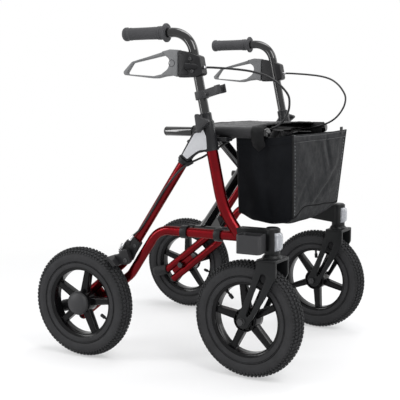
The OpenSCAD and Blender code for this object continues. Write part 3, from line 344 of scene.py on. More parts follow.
def arc(centre, r, start, end, n=24):
    """Points on a circle from one angle to another, in degrees."""
    angles = [math.radians(start + (end - start) * i / n) for i in range(n + 1)]
    return [(centre[0] + r * math.cos(a), centre[1] + r * math.sin(a)) for a in angles]


def slab(outer, holes, y, thick, edge=1.0, rounds=2):
    """A plate in the XZ plane with rounded edges, centred on y, from an outline and its holes."""
    curve = bpy.data.curves.new("slab", "CURVE")
    curve.dimensions = "2D"
    curve.fill_mode = "BOTH"
    curve.extrude = thick / 2 - edge
    curve.bevel_depth = edge
    curve.bevel_resolution = rounds
    curve.offset = -edge
    for outline in [outer, *holes]:
        line = curve.splines.new("POLY")
        line.points.add(len(outline) - 1)
        for point, (x, z) in zip(line.points, outline):
            point.co = (x, z, 0.0, 1.0)
        line.use_cyclic_u = True
    o = bpy.data.objects.new("slab", curve)
    scene.collection.objects.link(o)
    mesh = bpy.data.meshes.new_from_object(o.evaluated_get(bpy.context.evaluated_depsgraph_get()))
    points = [(v.co.x, y - v.co.z, v.co.y) for v in mesh.vertices]
    faces = [tuple(p.vertices) for p in mesh.polygons]
    bpy.data.objects.remove(o)
    bpy.data.curves.remove(curve)
    bpy.data.meshes.remove(mesh)
    return tidy(points, faces, distance=1e-3)


def sweep(path, radius, sides=12):
    """A round rod along a path, with one radius or one for each point."""
    path = [Vector(p) for p in path]
    last = len(path) - 1
    along = [(path[min(i + 1, last)] - path[max(i - 1, 0)]).normalized() for i in range(last + 1)]
    side = along[0].orthogonal().normalized()
    points, faces = [], []
    for i, p in enumerate(path):
        side = (side - along[i] * side.dot(along[i])).normalized()
        up = along[i].cross(side)
        r = radius[i] if isinstance(radius, (list, tuple)) else radius
        for k in range(sides):
            a = 2 * math.pi * k / sides
            points.append(tuple(p + (side * math.cos(a) + up * math.sin(a)) * r))
    for i in range(last):
        for k in range(sides):
            m = (k + 1) % sides
            faces.append((i * sides + k, i * sides + m, (i + 1) * sides + m, (i + 1) * sides + k))
    faces.append(tuple(range(sides))[::-1])
    faces.append(tuple(last * sides + k for k in range(sides)))
    return points, faces


def spline(route, steps=8):
    """Points on the smooth curve through a route."""
    out, n = [], len(route)
    for i in range(n - 1):
        a, b = Vector(route[max(i - 1, 0)]), Vector(route[i])
        c, d = Vector(route[i + 1]), Vector(route[min(i + 2, n - 1)])
        for k in range(steps):
            t = k / steps
            out.append((2 * b + (c - a) * t + (2 * a - 5 * b + 4 * c - d) * t ** 2
                        + (3 * b - a - 3 * c + d) * t ** 3) / 2)
    return out + [Vector(route[-1])]


def circle(r, n):
    """Outline of a full circle."""
    return arc((0.0, 0.0), r, 0.0, 360.0, n)[:-1]


def moved(geo, matrix):
    """A shape in another place."""
    return [tuple(matrix @ Vector(p)) for p in geo[0]], geo[1]


def mirrored(profile):
    """A profile of (radius, height) carried on to the other side of height 0."""
    return [(r, -h) for r, h in reversed(profile)]


def along_stem(z):
    """Takes upright axes to the stem's axis at height z."""
    x = COLLAR[0] - math.tan(STEM_LEAN) * (z - COLLAR[1])
    return Matrix.Translation((x, -FRAME_Y, z)) @ Matrix.Rotation(-STEM_LEAN, 4, "Y")


def along_main(z):
    """Takes upright axes to the rear tube's axis at height z."""
    x = REAR_LOW[0] + math.tan(MAIN_LEAN) * (z - REAR_LOW[1])
    return Matrix.Translation((x, -FRAME_Y, z)) @ Matrix.Rotation(MAIN_LEAN, 4, "Y")


# Profile of a dished screw head, in shares of its radius and depth
SCREW_SHARES = [(0.0, 0.45), (0.42, 0.45), (0.5, 1.0), (0.85, 1.0), (1.0, 0.7), (1.0, -1.0), (0.0, -1.0)]


def screw(at, r, depth):
    """A dished screw head that faces -Y."""
    return revolve([(r * u, depth * v) for u, v in SCREW_SHARES], 24, at)


# Wheels

# Tyre section: half width and depth of the crown; rib and groove of a wall in degrees from the crown
TYRE_HALF, CROWN_DEEP = TYRE_W / 2, 22.0
RIB_EDGES, RIB_TALL = (58, 66), 1.0
GROOVE_EDGES, GROOVE_DEEP = (117.4, 118.4, 121.6, 122.6), 3.0
TYRE_FOOT_R, TYRE_FOOT_Y = RIM_R - 2.0, 18.0
CARCASS_STEPS, WHEEL_STEPS = 28, 128
# Rubber ring over the rim's edge
BEAD = [(112.4, 18.6), (112.4, 21.6), (111.4, 22.6), (107, 22.9), (102.4, 22), (100.4, 21),
        (99.8, 19.8), (100.2, 18.4)]
# Tread rows: place across, width, length, blocks round the tyre, start, slant and height
MIDDLE_ROW = (0, 6.4, 8.2, 84, 0, 0, 4)
SIDE_ROWS = [(9, 7, 7.6, 84, 0.5, 0.45, 4), (18, 7.2, 7, 84, 0, -0.3, 4),
             (25, 5.4, 5.4, 96, 0.25, 0, 3.2)]
TREAD_R, BLOCK_ROOT, BLOCK_TOP_SHARE = 24.0, 0.6, 0.78
BLOCK_CORNERS = ((-1, -1), (1, -1), (1, 1), (-1, 1))
# One side of the profiles of the rim's ring and hub, and the ring's middle
RIM_SIDE = [(112.9, 20.2), (111.6, 21.6), (109, 21.9), (106.5, 20.9), (98, 18.4), (94, 17.2),
            (91.6, 15.4), (91, 12.5)]
RIM_MIDDLE = (92.6, 0)
HUB_SIDE = [(14.2, 25), (21.5, 25), (22.5, 24), (23, 18), (27.4, 18), (27.8, 23.4), (28.6, 24.4),
            (30.2, 24.4), (31.2, 23.4), (31.6, 9)]
# Spokes: the angle at which they are drawn before they turn to their valve, then their count and sizes
SPIDER_AT, SPOKES = -24.0, 5
SPOKE_STEP = 360.0 / SPOKES
SPIDER_R, BORE_R, SPIDER_T = 95.0, 14.2, 19.0
# Ends of the window between two spokes: radius, half width of the spoke, way round and corner radius
WINDOW_ENDS, WINDOW_STEPS = ((26.5, 10.2, 1, 4), (91.4, 7.4, -1, 13)), 14
# Raised edges of a spoke: radius and half spread at both ends, gauge and place across
SPOKE_RIB, SPOKE_RIB_R, SPOKE_RIB_Y = ((24, 8.6), (95, 6)), 2.1, 8.6
# Ribs in the hub's slot: count, inner and outer radius, gauge and place across
HUB_RIBS, HUB_RIB, HUB_RIB_R, HUB_RIB_Y = 10, (22.0, 29.0), 2.4, 20.5
HUB_RIB_STEP = 360.0 / HUB_RIBS
# Stops along a valve: distance from the axle and radius
VALVE_STOPS = ((92.5, 5), (89, 5), (88.6, 3.4), (79.6, 3.1), (79.4, 4.9), (67.6, 4.7), (65.6, 3.4))
HUB_CAP = [(10.5, 25.1), (24, 25.1), (31.5, 25.8), (33.2, 27.6), (33, 30.2), (30.8, 34.6), (26.5, 38.4),
           (20, 41.4), (12, 43.2), (5, 43.9), (0, 44), (0, 33.5), (10.5, 33.5)]


def tread_point(t):
    """Point and outward direction on the tyre's section at angle t from the crown."""
    c, s = math.cos(t), math.sin(t)
    deep = CROWN_DEEP if c > 0 else TYRE_HALF
    point = Vector((WHEEL_R - TYRE_HALF + deep * c, TYRE_HALF * s))
    return point, Vector((c / deep, s / TYRE_HALF)).normalized()


def carcass(hub):
    """The tyre's body, with a rib and a groove on each wall."""
    edge = math.degrees(math.acos((RIM_R - WHEEL_R + TYRE_HALF) / TYRE_HALF))
    angles = [edge * (i - CARCASS_STEPS) / CARCASS_STEPS for i in range(2 * CARCASS_STEPS + 1)]
    angles += [sign * a for sign in (-1, 1) for a in GROOVE_EDGES]
    profile = []
    for a in sorted(angles):
        p, out = tread_point(math.radians(a))
        if RIB_EDGES[0] < abs(a) < RIB_EDGES[1]:
            p = p + out * RIB_TALL
        if GROOVE_EDGES[1] <= abs(a) <= GROOVE_EDGES[2]:
            p = p - out * GROOVE_DEEP
        profile.append((p.x, p.y))
    profile += [(TYRE_FOOT_R, TYRE_FOOT_Y), (TYRE_FOOT_R, -TYRE_FOOT_Y)]
    return revolve(profile, WHEEL_STEPS, hub)


def beads(hub):
    """The two rubber rings that lap over the rim's edges."""
    return join(*[revolve(ring, WHEEL_STEPS, hub) for ring in (BEAD, mirrored(BEAD))])


def tread_rows():
    """The middle row, then the side rows on both sides of it."""
    rows = [MIDDLE_ROW]
    for sign in (-1, 1):
        rows += [(sign * across, width, length, count, start, sign * slant, tall)
                 for across, width, length, count, start, slant, tall in SIDE_ROWS]
    return rows


def tread(hub):
    """Tapered tread blocks, row by row."""
    points, faces = [], []
    for across, width, length, count, start, slant, tall in tread_rows():
        p, out = tread_point(across / TREAD_R)
        tangent = Vector((-out.y, out.x))
        c, s = math.cos(slant), math.sin(slant)
        for i in range(count):
            a = 2 * math.pi * (i + start) / count
            base = len(points)
            for level, share in ((-BLOCK_ROOT, 1.0), (tall, BLOCK_TOP_SHARE)):
                for du, dv in BLOCK_CORNERS:
                    u, v = du * width / 2 * share, dv * length / 2 * share
                    q = p + tangent * (u * c - v * s) + out * level
                    turn = a + (u * s + v * c) / q.x
                    x, z = q.x * math.cos(turn), q.x * math.sin(turn)
                    points.append((hub[0] + x, hub[1] - q.y, hub[2] + z))
            faces.append((base + 4, base + 5, base + 6, base + 7))
            faces += [(base + k, base + (k + 1) % 4, base + 4 + (k + 1) % 4, base + 4 + k) for k in range(4)]
            faces.append((base + 3, base + 2, base + 1, base))
    return points, faces


def window(mid):
    """Outline of the opening between two spokes, about the angle mid."""
    corners = []
    for r, half, way, radius in WINDOW_ENDS:
        reach = SPOKE_STEP / 2 - math.degrees(math.asin(half / r))
        curve = arc((0.0, 0.0), r, mid - way * reach, mid + way * reach, WINDOW_STEPS)
        corners += [(x, z, radius if k in (0, WINDOW_STEPS) else 0.0) for k, (x, z) in enumerate(curve)]
    return fillet(corners, 7)


def spider(hub, valve):
    """The spokes as one plate, turned to the valve."""
    holes = [window(SPIDER_AT + i * SPOKE_STEP) for i in range(SPOKES)]
    plate = slab(circle(SPIDER_R, 96), [*holes, circle(BORE_R, 40)], 0.0, SPIDER_T, edge=3.0, rounds=3)
    turn = Matrix.Rotation(math.radians(SPIDER_AT - valve), 4, "Y")
    return moved(plate, Matrix.Translation(hub) @ turn)


def spoke_ribs(hub, valve):
    """Raised edges on both faces of each spoke."""
    ribs = []
    for i in range(SPOKES):
        turn = Matrix.Rotation(math.radians(valve + SPOKE_STEP / 2 + i * SPOKE_STEP), 2)
        for sign in (-1, 1):
            ends = [turn @ Vector((r, sign * half)) for r, half in SPOKE_RIB]
            for y in (-SPOKE_RIB_Y, SPOKE_RIB_Y):
                ribs.append(sweep([(hub[0] + e.x, hub[1] + y, hub[2] + e.y) for e in ends], SPOKE_RIB_R, 8))
    return ribs


def hub_ribs(hub, valve):
    """Short ribs across the slot on both faces of the hub."""
    ribs = []
    for i in range(HUB_RIBS):
        a = math.radians(valve + HUB_RIB_STEP / 2 + i * HUB_RIB_STEP)
        way = Vector((math.cos(a), math.sin(a)))
        for y in (-HUB_RIB_Y, HUB_RIB_Y):
            ends = [(hub[0] + way.x * r, hub[1] + y, hub[2] + way.y * r) for r in HUB_RIB]
            ribs.append(sweep(ends, HUB_RIB_R, 6))
    return ribs


def rim(hub, valve):
    """Ring, spokes and hub of a wheel with their ribs."""
    ring = revolve([*RIM_SIDE, RIM_MIDDLE, *mirrored(RIM_SIDE)], WHEEL_STEPS, hub)
    drum = revolve([*HUB_SIDE, *mirrored(HUB_SIDE)], 64, hub)
    return join(ring, spider(hub, valve), drum, *spoke_ribs(hub, valve), *hub_ribs(hub, valve))


def valve_stem(hub, valve):
    """The valve, from the rim towards the axle."""
    a = math.radians(valve)
    way = Vector((math.cos(a), 0.0, math.sin(a)))
    return sweep([Vector(hub) + way * d for d, _ in VALVE_STOPS], [r for _, r in VALVE_STOPS], 16)


for side in SIDES:
    for end, hub, turn in (("rear", REAR_HUB, False), ("front", FRONT_HUB, True)):
        valve = VALVES[side + "_" + end]
        body = end + "_wheel"
        emit(end + "_carcass", carcass(hub), TYRE, body, side, turn, (end + "_tyre",), sharp=60.0)
        emit(end + "_tread", tread(hub), TREAD, body, side, turn, sharp=30.0)
        emit(end + "_beads", beads(hub), TYRE, body, side, turn, sharp=40.0)
        emit(end + "_wheel_rim", rim(hub, valve), RIM, body, side, turn, (end + "_rim",),
             sharp=48.0)
        emit(end + "_valve", valve_stem(hub, valve), BLACK, body, side, turn)
    emit("wheel_cap", revolve(HUB_CAP, 64, REAR_HUB), CAP, "rear_wheel", side,
         replaces=("hub_cap",), sharp=30.0)


# Materials on the CAD nodes that stay in view: material, and radius of the softened edges

SIDE_LOOKS = {
    "front_tube": (RED, 0), "lower_tube": (RED, 0), "rear_tube": (RED, 0), "axle_plate": (RED, 0.8),
    "rear_axle": (BOLT, 0.3), "front_axle": (BOLT, 0.3), "caster_spindle": (BOLT, 0.4),
    "handle_tube": (GLOSS_BLACK, 0), "seat_rail": (GLOSS_BLACK, 0.4), "front_joint": (CAST, 1.2),
    "tube_plugs": (TIP, 2.0), "brace_clamps": (BLACK, 0.8),
}
MIDDLE_LOOKS = {"brace_a": (GLOSS_BLACK, 0), "brace_b": (GLOSS_BLACK, 0), "cane_clip": (CUP, 0.8),
                "cane_cup": (CUP, 1.4)}


def dress(node, material, edge):
    """Gives a CAD node its material and, where edge is set, softly rounded edges."""
    o = NODES[node]
    o.data.materials.clear()
    o.data.materials.append(material)
    if edge:
        weld = o.modifiers.new("weld", "WELD")
        weld.merge_threshold = 1e-5
        bevel = o.modifiers.new("edge", "BEVEL")
        bevel.width = edge * MM
        bevel.segments = 2
        bevel.limit_method = "ANGLE"
        bevel.angle_limit = math.radians(40.0)


for name, (material, edge) in SIDE_LOOKS.items():
    for side in SIDES:
        dress(side + "_" + name, material, edge)
for name, (material, edge) in MIDDLE_LOOKS.items():
    dress(name, material, edge)


# Handles

GRIP_AT = (8.1, -FRAME_Y, 892)
# Radius of the grip and distance back from its collar
GRIP = [(12.6, 0), (23, 0), (24.5, 1.5), (24.5, 5), (23, 6.6), (18, 7.6), (16.9, 10),
        (16.9, 17), (17.8, 18.2), (17.8, 21.2), (16.9, 22.4), (16.9, 24.4), (17.6, 25.4), (17.6, 27),
        (16.6, 28.2), (16.1, 60), (16.2, 108), (16.9, 110), (16.9, 113), (16.2, 115), (16.4, 119),
        (18, 121), (18.3, 124), (18, 128.5), (16.2, 131.4), (12, 132), (0, 132), (0, 100),
        (12.6, 100)]
# Outlines as x, z and corner radius
LEVER = [(9.5, 845, 14), (-42, 832, 60), (-97, 819, 16), (-125, 792, 7), (-121, 784, 7), (-30, 774, 30),
         (-14, 774, 10), (9, 779, 20), (30, 781, 8), (47, 776, 4), (49, 846, 4), (23, 848, 10)]
LOOP = [(-92, 815, 10), (-110, 790, 4), (-109, 786, 4), (-30, 780, 30), (0, 786, 30), (16, 796, 20),
        (23, 814, 14), (19, 825, 12), (7, 833, 20)]
ROOT = [(-6, 842, 6), (23, 848, 10), (49, 846, 4), (47, 776, 4), (30, 781, 8), (9, 779, 12), (-10, 777, 3),
        (0, 787, 30), (16, 797, 20), (23, 814, 14), (19, 825, 12), (7, 833, 20)]
HOUSING = [(50, 845, 3), (84, 838, 10), (112, 828, 7), (121, 782, 7), (100, 776, 6), (51, 775, 4)]
HOUSING_FACE = [(56, 838, 4), (80, 833, 8), (84, 812, 6), (70, 806, 6), (70, 798, 6), (88, 782, 6),
                (56, 781, 4)]
LEVER_T, ROOT_T, HOUSING_T, FACE_T = 13.0, 26.0, 32.0, 4.0
# How far the housing's face and screws stand out from the lever's plane
FACE_OUT, SCREWS_OUT = 15.5, 16.4
HOUSING_SCREWS = ((86, 822), (92, 791))
# Nose of the housing round the cable: x, distance out, z and radius
NOSE = [(74, 17, 804, 9), (96, 16, 803, 8), (110, 8, 801, 7), (118, 3, 800, 5.6)]
BADGE, BADGE_AT = [(7.9, -0.5), (8.1, 0.4), (9.2, 0.4), (9.5, -0.5)], (30, -LEVER_Y - ROOT_T / 2, 812)
FERRULE = [(3.4, 0), (5, 0.4), (5, 4.5), (4.2, 5), (4.2, 8.5), (3.6, 9.2), (3.6, 13), (2.9, 13.4),
           (2.9, 0)]
FERRULE_AT = (114, -275, 800)
KNOB_TIPS = [(109.5, 683), (147.2, 664.5), (116.1, 632.2)]
KNOB_MID, KNOB_WAIST, KNOB_TIP_R = (124.2, 659.9), 13.5, 5.0
KNOB_TIP_REACH, KNOB_WAIST_R = KNOB_TIP_R * 1.2, 18.0
KNOB_Y, KNOB_T, SHANK_Y = 301.5, 17.0, 292.0
SHANK = [(0, 5), (10.5, 5), (11, 4), (11, -4), (0, -4)]


def lever():
    """An open loop on a thick root."""
    loop = slab(fillet(LEVER), [fillet(LOOP)], -LEVER_Y, LEVER_T, edge=3.2, rounds=3)
    return join(loop, slab(fillet(ROOT), [], -LEVER_Y, ROOT_T, edge=4.0, rounds=4))


def housing():
    """The brake housing with its raised face and the nose round the cable."""
    nose = sweep([(x, -LEVER_Y - out, z) for x, out, z, _ in NOSE], [r for *_, r in NOSE], 20)
    return join(slab(fillet(HOUSING), [], -LEVER_Y, HOUSING_T, edge=3.0, rounds=3),
                slab(fillet(HOUSING_FACE), [], -LEVER_Y - FACE_OUT, FACE_T, edge=1.5), nose)


def knob():
    """A knob with three round tips and hollow sides, on its shank."""
    mid, corners = Vector(KNOB_MID), []
    for i, tip in enumerate(KNOB_TIPS):
        other = KNOB_TIPS[(i + 1) % 3]
        half = Vector((tip[0] + other[0], tip[1] + other[1])) / 2 - mid
        waist = mid + half.normalized() * KNOB_WAIST
        point = Vector(tip) + (Vector(tip) - mid).normalized() * KNOB_TIP_REACH
        corners += [(point.x, point.y, KNOB_TIP_R), (waist.x, waist.y, KNOB_WAIST_R)]
    star = slab(fillet(corners, 8), [], -KNOB_Y, KNOB_T, edge=4.0, rounds=4)
    return join(star, revolve(SHANK, 32, (KNOB_MID[0], -SHANK_Y, KNOB_MID[1])))


for side in SIDES:
    grip = revolve([(r, -h) for r, h in GRIP], 48, GRIP_AT, axis="x")
    emit("hand_grip", grip, RUBBER, "handle", side, replaces=("grip",), sharp=35.0)
    emit("lever", lever(), GREY, "lever", side, replaces=("brake_lever",), sharp=40.0)
    emit("lever_badge", revolve(BADGE, 40, BADGE_AT), JOINT, "lever", side)
    emit("lever_housing", housing(), BLACK, "handle", side, replaces=("brake_housing",),
         sharp=40.0)
    heads = join(*[screw((x, -LEVER_Y - SCREWS_OUT, z), r=5.0, depth=2.2) for x, z in HOUSING_SCREWS])
    emit("housing_screws", heads, BOLT, "handle", side, sharp=30.0)
    ferrule = revolve(FERRULE, 24, FERRULE_AT, axis="x")
    emit("cable_ferrule", ferrule, STEEL, "handle", side, sharp=30.0)
    emit("star_knob", knob(), CAP, "knob", side, replaces=("height_knob",), sharp=40.0)


# Rear brakes

ARM = [(-143, 296, 4), (-128, 299, 8), (-115, 313, 5), (-102, 314, 6), (-95, 296, 8), (-91, 281, 11),
       (-103, 270, 11), (-122, 272, 10), (-134, 284, 6)]
# Shoe outline about the rear axle: angle in degrees and radius, with one corner radius
SHOE = [(44, 159.5), (50, 159.8), (55, 161), (56.5, 161.6), (56, 168.5), (50, 171),
        (44, 170)]
SHOE_CORNER = 3.0
BRACKET = [(-113, 337, 4), (-92, 346, 4), (-72, 330, 6), (-96, 280, 9), (-114, 277, 9), (-137, 293, 6),
           (-143, 304, 5)]
ARM_Y, ARM_T, SHOE_Y, SHOE_T, BRACKET_Y, BRACKET_T = 299.0, 20.0, 309.0, 50.0, 282.0, 8.0
COLLAR_SIDE, BRAKE_COLLAR_Z = [(12.8, -33), (15.8, -33), (17, -31.5)], 307.0
# Adjuster from the cable's end part of the way to the arm's crank
CABLE_FOOT, CRANK_AT = (-104, -285, 336), (-109.7, -285, 309.4)
ADJUSTER_SHARE, ADJUSTER_R = 0.45, 4.6
PIVOT_BOLT, BRACKET_BOLT = (-103.7, -309.2, 283.4), (-88, -285.6, 322)
END_FERRULE, END_FERRULE_R = [(-91.5, -285, 351), (-95.5, -285, 346.5), CABLE_FOOT], [3.9, 4.3, 4.3]
SPRING_ENDS, SPRING_R, WIRE_R, SPRING_TURNS = ((-121, -294, 326), (-132, -294, 306)), 4.2, 0.8, 7
TURN_STEPS = 12


def coil(start, end, r, wire, turns):
    """A wire wound about the line between two points."""
    a, b = Vector(start), Vector(end)
    way = (b - a).normalized()
    u = way.orthogonal().normalized()
    v = way.cross(u)
    steps = turns * TURN_STEPS
    path = []
    for k in range(steps + 1):
        t = 2 * math.pi * k / TURN_STEPS
        path.append(a.lerp(b, k / steps) + (u * math.cos(t) + v * math.sin(t)) * r)
    return sweep(path, wire, 6)


def brake_arm():
    """The arm with the shoe that presses on the tyre."""
    shoe = []
    for angle, r in SHOE:
        a = math.radians(angle)
        shoe.append((REAR_HUB[0] + r * math.cos(a), REAR_HUB[2] + r * math.sin(a), SHOE_CORNER))
    return join(slab(fillet(ARM), [], -ARM_Y, ARM_T, edge=3.0, rounds=3),
                slab(fillet(shoe, 3), [], -SHOE_Y, SHOE_T, edge=3.0, rounds=3))


def brake_body():
    """The collar on the rear tube, the bracket and the cable's adjuster."""
    collar = revolve([*COLLAR_SIDE, *mirrored(COLLAR_SIDE)], 40, axis="z")
    adjuster = sweep([CABLE_FOOT, Vector(CABLE_FOOT).lerp(Vector(CRANK_AT), ADJUSTER_SHARE)], ADJUSTER_R, 16)
    return join(moved(collar, along_main(BRAKE_COLLAR_Z)),
                slab(fillet(BRACKET), [], -BRACKET_Y, BRACKET_T, edge=2.0, rounds=3), adjuster)


for side in SIDES:
    emit("shoe_arm", brake_arm(), ARM_PLASTIC, "brake_arm", side, replaces=("brake_arm",),
         sharp=40.0)
    emit("brake_body", brake_body(), BLACK, "side", side, replaces=("brake_bracket",))
    bolts = join(screw(PIVOT_BOLT, r=6.5, depth=2.6), screw(BRACKET_BOLT, r=5.0, depth=2.2))
    emit("brake_bolts", bolts, BOLT, "side", side, sharp=30.0)
    metal = join(sweep(END_FERRULE, END_FERRULE_R, 18), coil(*SPRING_ENDS, SPRING_R, WIRE_R, SPRING_TURNS))
    emit("brake_ferrule", metal, STEEL, "side", side, sharp=50.0)


# Joint at the top of the side frame

# Sleeve of the stem below its collar, and of the rear tube
SLEEVE = [(12.9, 0.4), (15.2, 0.4), (16, -0.6), (16, -18), (16.8, -21), (18.6, -22), (19, -24),
          (19, -95.5), (18.2, -98), (15.2, -98), (15.2, -60), (12.9, -58)]
REAR_SLEEVE = math.hypot(APEX[0] - REAR_LOW[0], APEX[1] - REAR_LOW[1])
REAR_SIDE = [(12.8, 0), (15.4, 0), (16, 0.8), (16, REAR_SLEEVE - 4), (12.8, REAR_SLEEVE)]
GUSSET_WEB = [(62, 566, 3), (100, 580, 10), (138, 589, 3), (126, 655, 3), (112, 645, 3)]
GUSSET_TRIM = [(93, 636, 4), (126, 647, 4), (134, 626, 8), (137, 588, 4), (111, 583.5, 10),
               (99, 576, 8), (76, 558.5, 4), (56, 574, 4)]
GUSSET_PANEL = [(97.2, 631.3, 3), (123.5, 641.5, 3), (130.7, 624.5, 8), (133.6, 592, 3), (110.6, 588.4, 10),
                (97.1, 580.6, 8), (75.6, 564.8, 3), (62, 575.7, 3)]
WEB_T, TRIM_Y, TRIM_T, PANEL_Y, PANEL_T = 13.0, 281.5, 9.0, 286.0, 3.0
CRADLE_LOW, CRADLE_HIGH = (141, -FRAME_Y + 8, 611), (175, -219.5, 622)
KNOB_BOSS = [(0, 22), (13, 22), (14, 21), (14, 0), (0, 0)]
# Clip that holds the cable to the rear tube: half of its ring, and its eye with the radii along it
CLIP_SIDE, CLIP_Z = [(13, -4.5), (17.6, -4.5), (18.8, -3.5)], 561.0
CLIP_EYE = [(84.5, -270.6, 557.8), (81, -272.9, 555.9), (75, -276.5, 552), (71.5, -278.3, 549.5)]
CLIP_EYE_R = [5, 5.6, 5.6, 5]
SLEEVE_BOLT, SLEEVE_BOLT_Z = [(0, 21), (4, 21), (4.6, 20), (4.6, 14), (0, 14)], 600.0
# Lens of the head reflector: rows, columns, height and half height, half angle, radius and bow
LENS_ROWS, LENS_COLS, LENS_Z, LENS_HALF, LENS_TURN, LENS_R, LENS_BOW = 12, 18, 364.5, 23.0, 52.0, 20.2, 6.5
CLIP_SCREW = (129.5, -291.5, 731)


def block(low, high, edge):
    """A box between two corners with rounded edges."""
    bm = bmesh.new()
    bmesh.ops.create_cube(bm, size=1.0)
    for v in bm.verts:
        v.co = [low[k] + (v.co[k] + 0.5) * (high[k] - low[k]) for k in range(3)]
    bmesh.ops.bevel(bm, geom=bm.edges, offset=edge, segments=3, profile=0.5, affect="EDGES")
    out = [tuple(v.co) for v in bm.verts], [tuple(v.index for v in f.verts) for f in bm.faces]
    bm.free()
    return out


def joint_body():
    """The two sleeves, the web between them, the seat rail's cradle and the knob's boss."""
    web = slab(fillet(GUSSET_WEB), [], -FRAME_Y, WEB_T, edge=2.0)
    return join(moved(revolve(SLEEVE, 56, axis="z"), along_stem(COLLAR[1])), web,
                block(CRADLE_LOW, CRADLE_HIGH, 2.5),
                moved(revolve(REAR_SIDE, 48, axis="z"), along_main(REAR_LOW[1])),
                revolve(KNOB_BOSS, 36, (KNOB_MID[0], -FRAME_Y, KNOB_MID[1])))


def cable_clip():
    """A ring round the rear tube with an eye for the cable."""
    ring = revolve([*CLIP_SIDE, *mirrored(CLIP_SIDE)], 40, axis="z")
    return join(moved(ring, along_main(CLIP_Z)), sweep(CLIP_EYE, CLIP_EYE_R, 18))


def sleeve_bolt():
    """A bolt that comes out of the sleeve to the rear."""
    backwards = Matrix.Scale(-1, 4, (1, 0, 0))
    return tidy(*moved(revolve(SLEEVE_BOLT, 24, axis="x"), along_main(SLEEVE_BOLT_Z) @ backwards))


def grid_faces(rows, cols):
    """Faces of a grid of points that was laid out row by row."""
    n = cols + 1
    starts = [i * n + j for i in range(rows) for j in range(cols)]
    return [(k, k + 1, k + n + 1, k + n) for k in starts]


def head_lens():
    """A lens bowed round the head tube."""
    points = []
    for i in range(LENS_ROWS + 1):
        for j in range(LENS_COLS + 1):
            u, v = 2 * i / LENS_ROWS - 1, 2 * j / LENS_COLS - 1
            swell = (1 - abs(u) ** 4) ** 0.5 * (1 - abs(v) ** 6) ** 0.5
            a, r = math.radians(LENS_TURN * v), LENS_R + LENS_BOW * swell
            points.append((HEAD_X + r * math.cos(a), -FRAME_Y + r * math.sin(a), LENS_Z + LENS_HALF * u))
    return points, grid_faces(LENS_ROWS, LENS_COLS)


for side in SIDES:
    emit("joint_body", joint_body(), JOINT, "side", side, replaces=("top_joint",))
    border = slab(fillet(GUSSET_TRIM), [], -TRIM_Y, TRIM_T, edge=1.5)
    emit("joint_trim", border, JOINT, "side", side)
    panel = slab(fillet(GUSSET_PANEL), [], -PANEL_Y, PANEL_T, edge=0.8)
    emit("joint_panel", panel, PANEL, "side", side, replaces=("reflectors",))
    emit("cable_clip", cable_clip(), BLACK, "side", side)
    emit("sleeve_bolt", sleeve_bolt(), BOLT, "side", side)
    emit("head_reflector", head_lens(), LENS, "side", side, sharp=60.0)
    if side == "right":
        head = screw(CLIP_SCREW, r=5.0, depth=2.4)
        emit("clip_screw", head, BOLT, "handle", side, sharp=30.0)


# Casters

LEG_Y, LEG_T = 35.0, 9.0
# Outline of a leg above its round end, that end, and the window in it
FORK_TOP = [(284, 320, 3), (338, 320, 4), (338, 278, 12), (313, 231, 40)]
FORK_BACK = [(256, 223, 40), (282, 294, 20)]
FORK_END, FORK_END_R, FORK_END_TURN = (246, 155), 18.5, (-27, -205)
FORK_WINDOW = [(293, 272, 8), (297, 285, 8), (309, 285, 8), (311, 274, 8), (291, 224, 20), (268, 178, 5),
               (258, 168, 3), (255, 171, 3), (275, 230, 20)]
# Corners of the bridge and of the web behind it, with half their width across
BRIDGE_X, BRIDGE_Z, BRIDGE_HALF = (284, 338), (313.5, 322), 39.5
WEB_X, WEB_Z, WEB_HALF = (285, 290), (262, 316), 39.0
HEAD_SEAT = [(0, 322), (26, 322), (26, 323), (24, 327), (20.5, 330.4), (0, 330.4)]
WASHER, AXLE_SCREW_OUT = [(0, 1.6), (9.6, 1.6), (10.2, 1), (10.2, -0.5), (0, -0.5)], 4.6


def cross_piece(x, z, half, edge):
    """A block from leg to leg."""
    return block((x[0], -FRAME_Y - half, z[0]), (x[1], -FRAME_Y + half, z[1]), edge)


def fork():
    """Two open legs under a bridge and a domed seat for the head."""
    end = [(x, z, 0.0) for x, z in arc(FORK_END, FORK_END_R, *FORK_END_TURN, 18)]
    outline, hole = fillet([*FORK_TOP, *end, *FORK_BACK]), fillet(FORK_WINDOW)
    legs = [slab(outline, [hole], -FRAME_Y + sign * LEG_Y, LEG_T, edge=2.2, rounds=3) for sign in (-1, 1)]
    bridge = cross_piece(BRIDGE_X, BRIDGE_Z, BRIDGE_HALF, 2.5)
    web = cross_piece(WEB_X, WEB_Z, WEB_HALF, 1.5)
    return join(*legs, bridge, web, revolve(HEAD_SEAT, 48, (HEAD_X, -FRAME_Y, 0.0), axis="z"))


def axle_end():
    """A washer and a screw on the axle's outer end."""
    y = -FRAME_Y - LEG_Y - LEG_T / 2
    washer = revolve(WASHER, 32, (AXLE_X, y, WHEEL_R))
    return join(washer, screw((AXLE_X, y - AXLE_SCREW_OUT, WHEEL_R), r=6.4, depth=3.0))


for side in SIDES:
    emit("caster_fork", fork(), CAST, "caster", side, True, ("fork",), sharp=40.0)
    emit("axle_bolt", axle_end(), BOLT, "caster", side, True, sharp=40.0)


# Seat

# Rear and front edge, radius round a rail, height of the crown and gauge
SEAT_X, SEAT_R, SEAT_CROWN, SEAT_GAUGE = (64, 241), 13.8, 6, 2.4
SEAT_WRAP, WRAP_STEPS, TOP_STEPS, SEAT_ROWS = math.radians(-75.0), 16, 60, 44
# How far the rear and the front edge bow inwards
REAR_BOW, FRONT_BOW = 10.0, 8.0
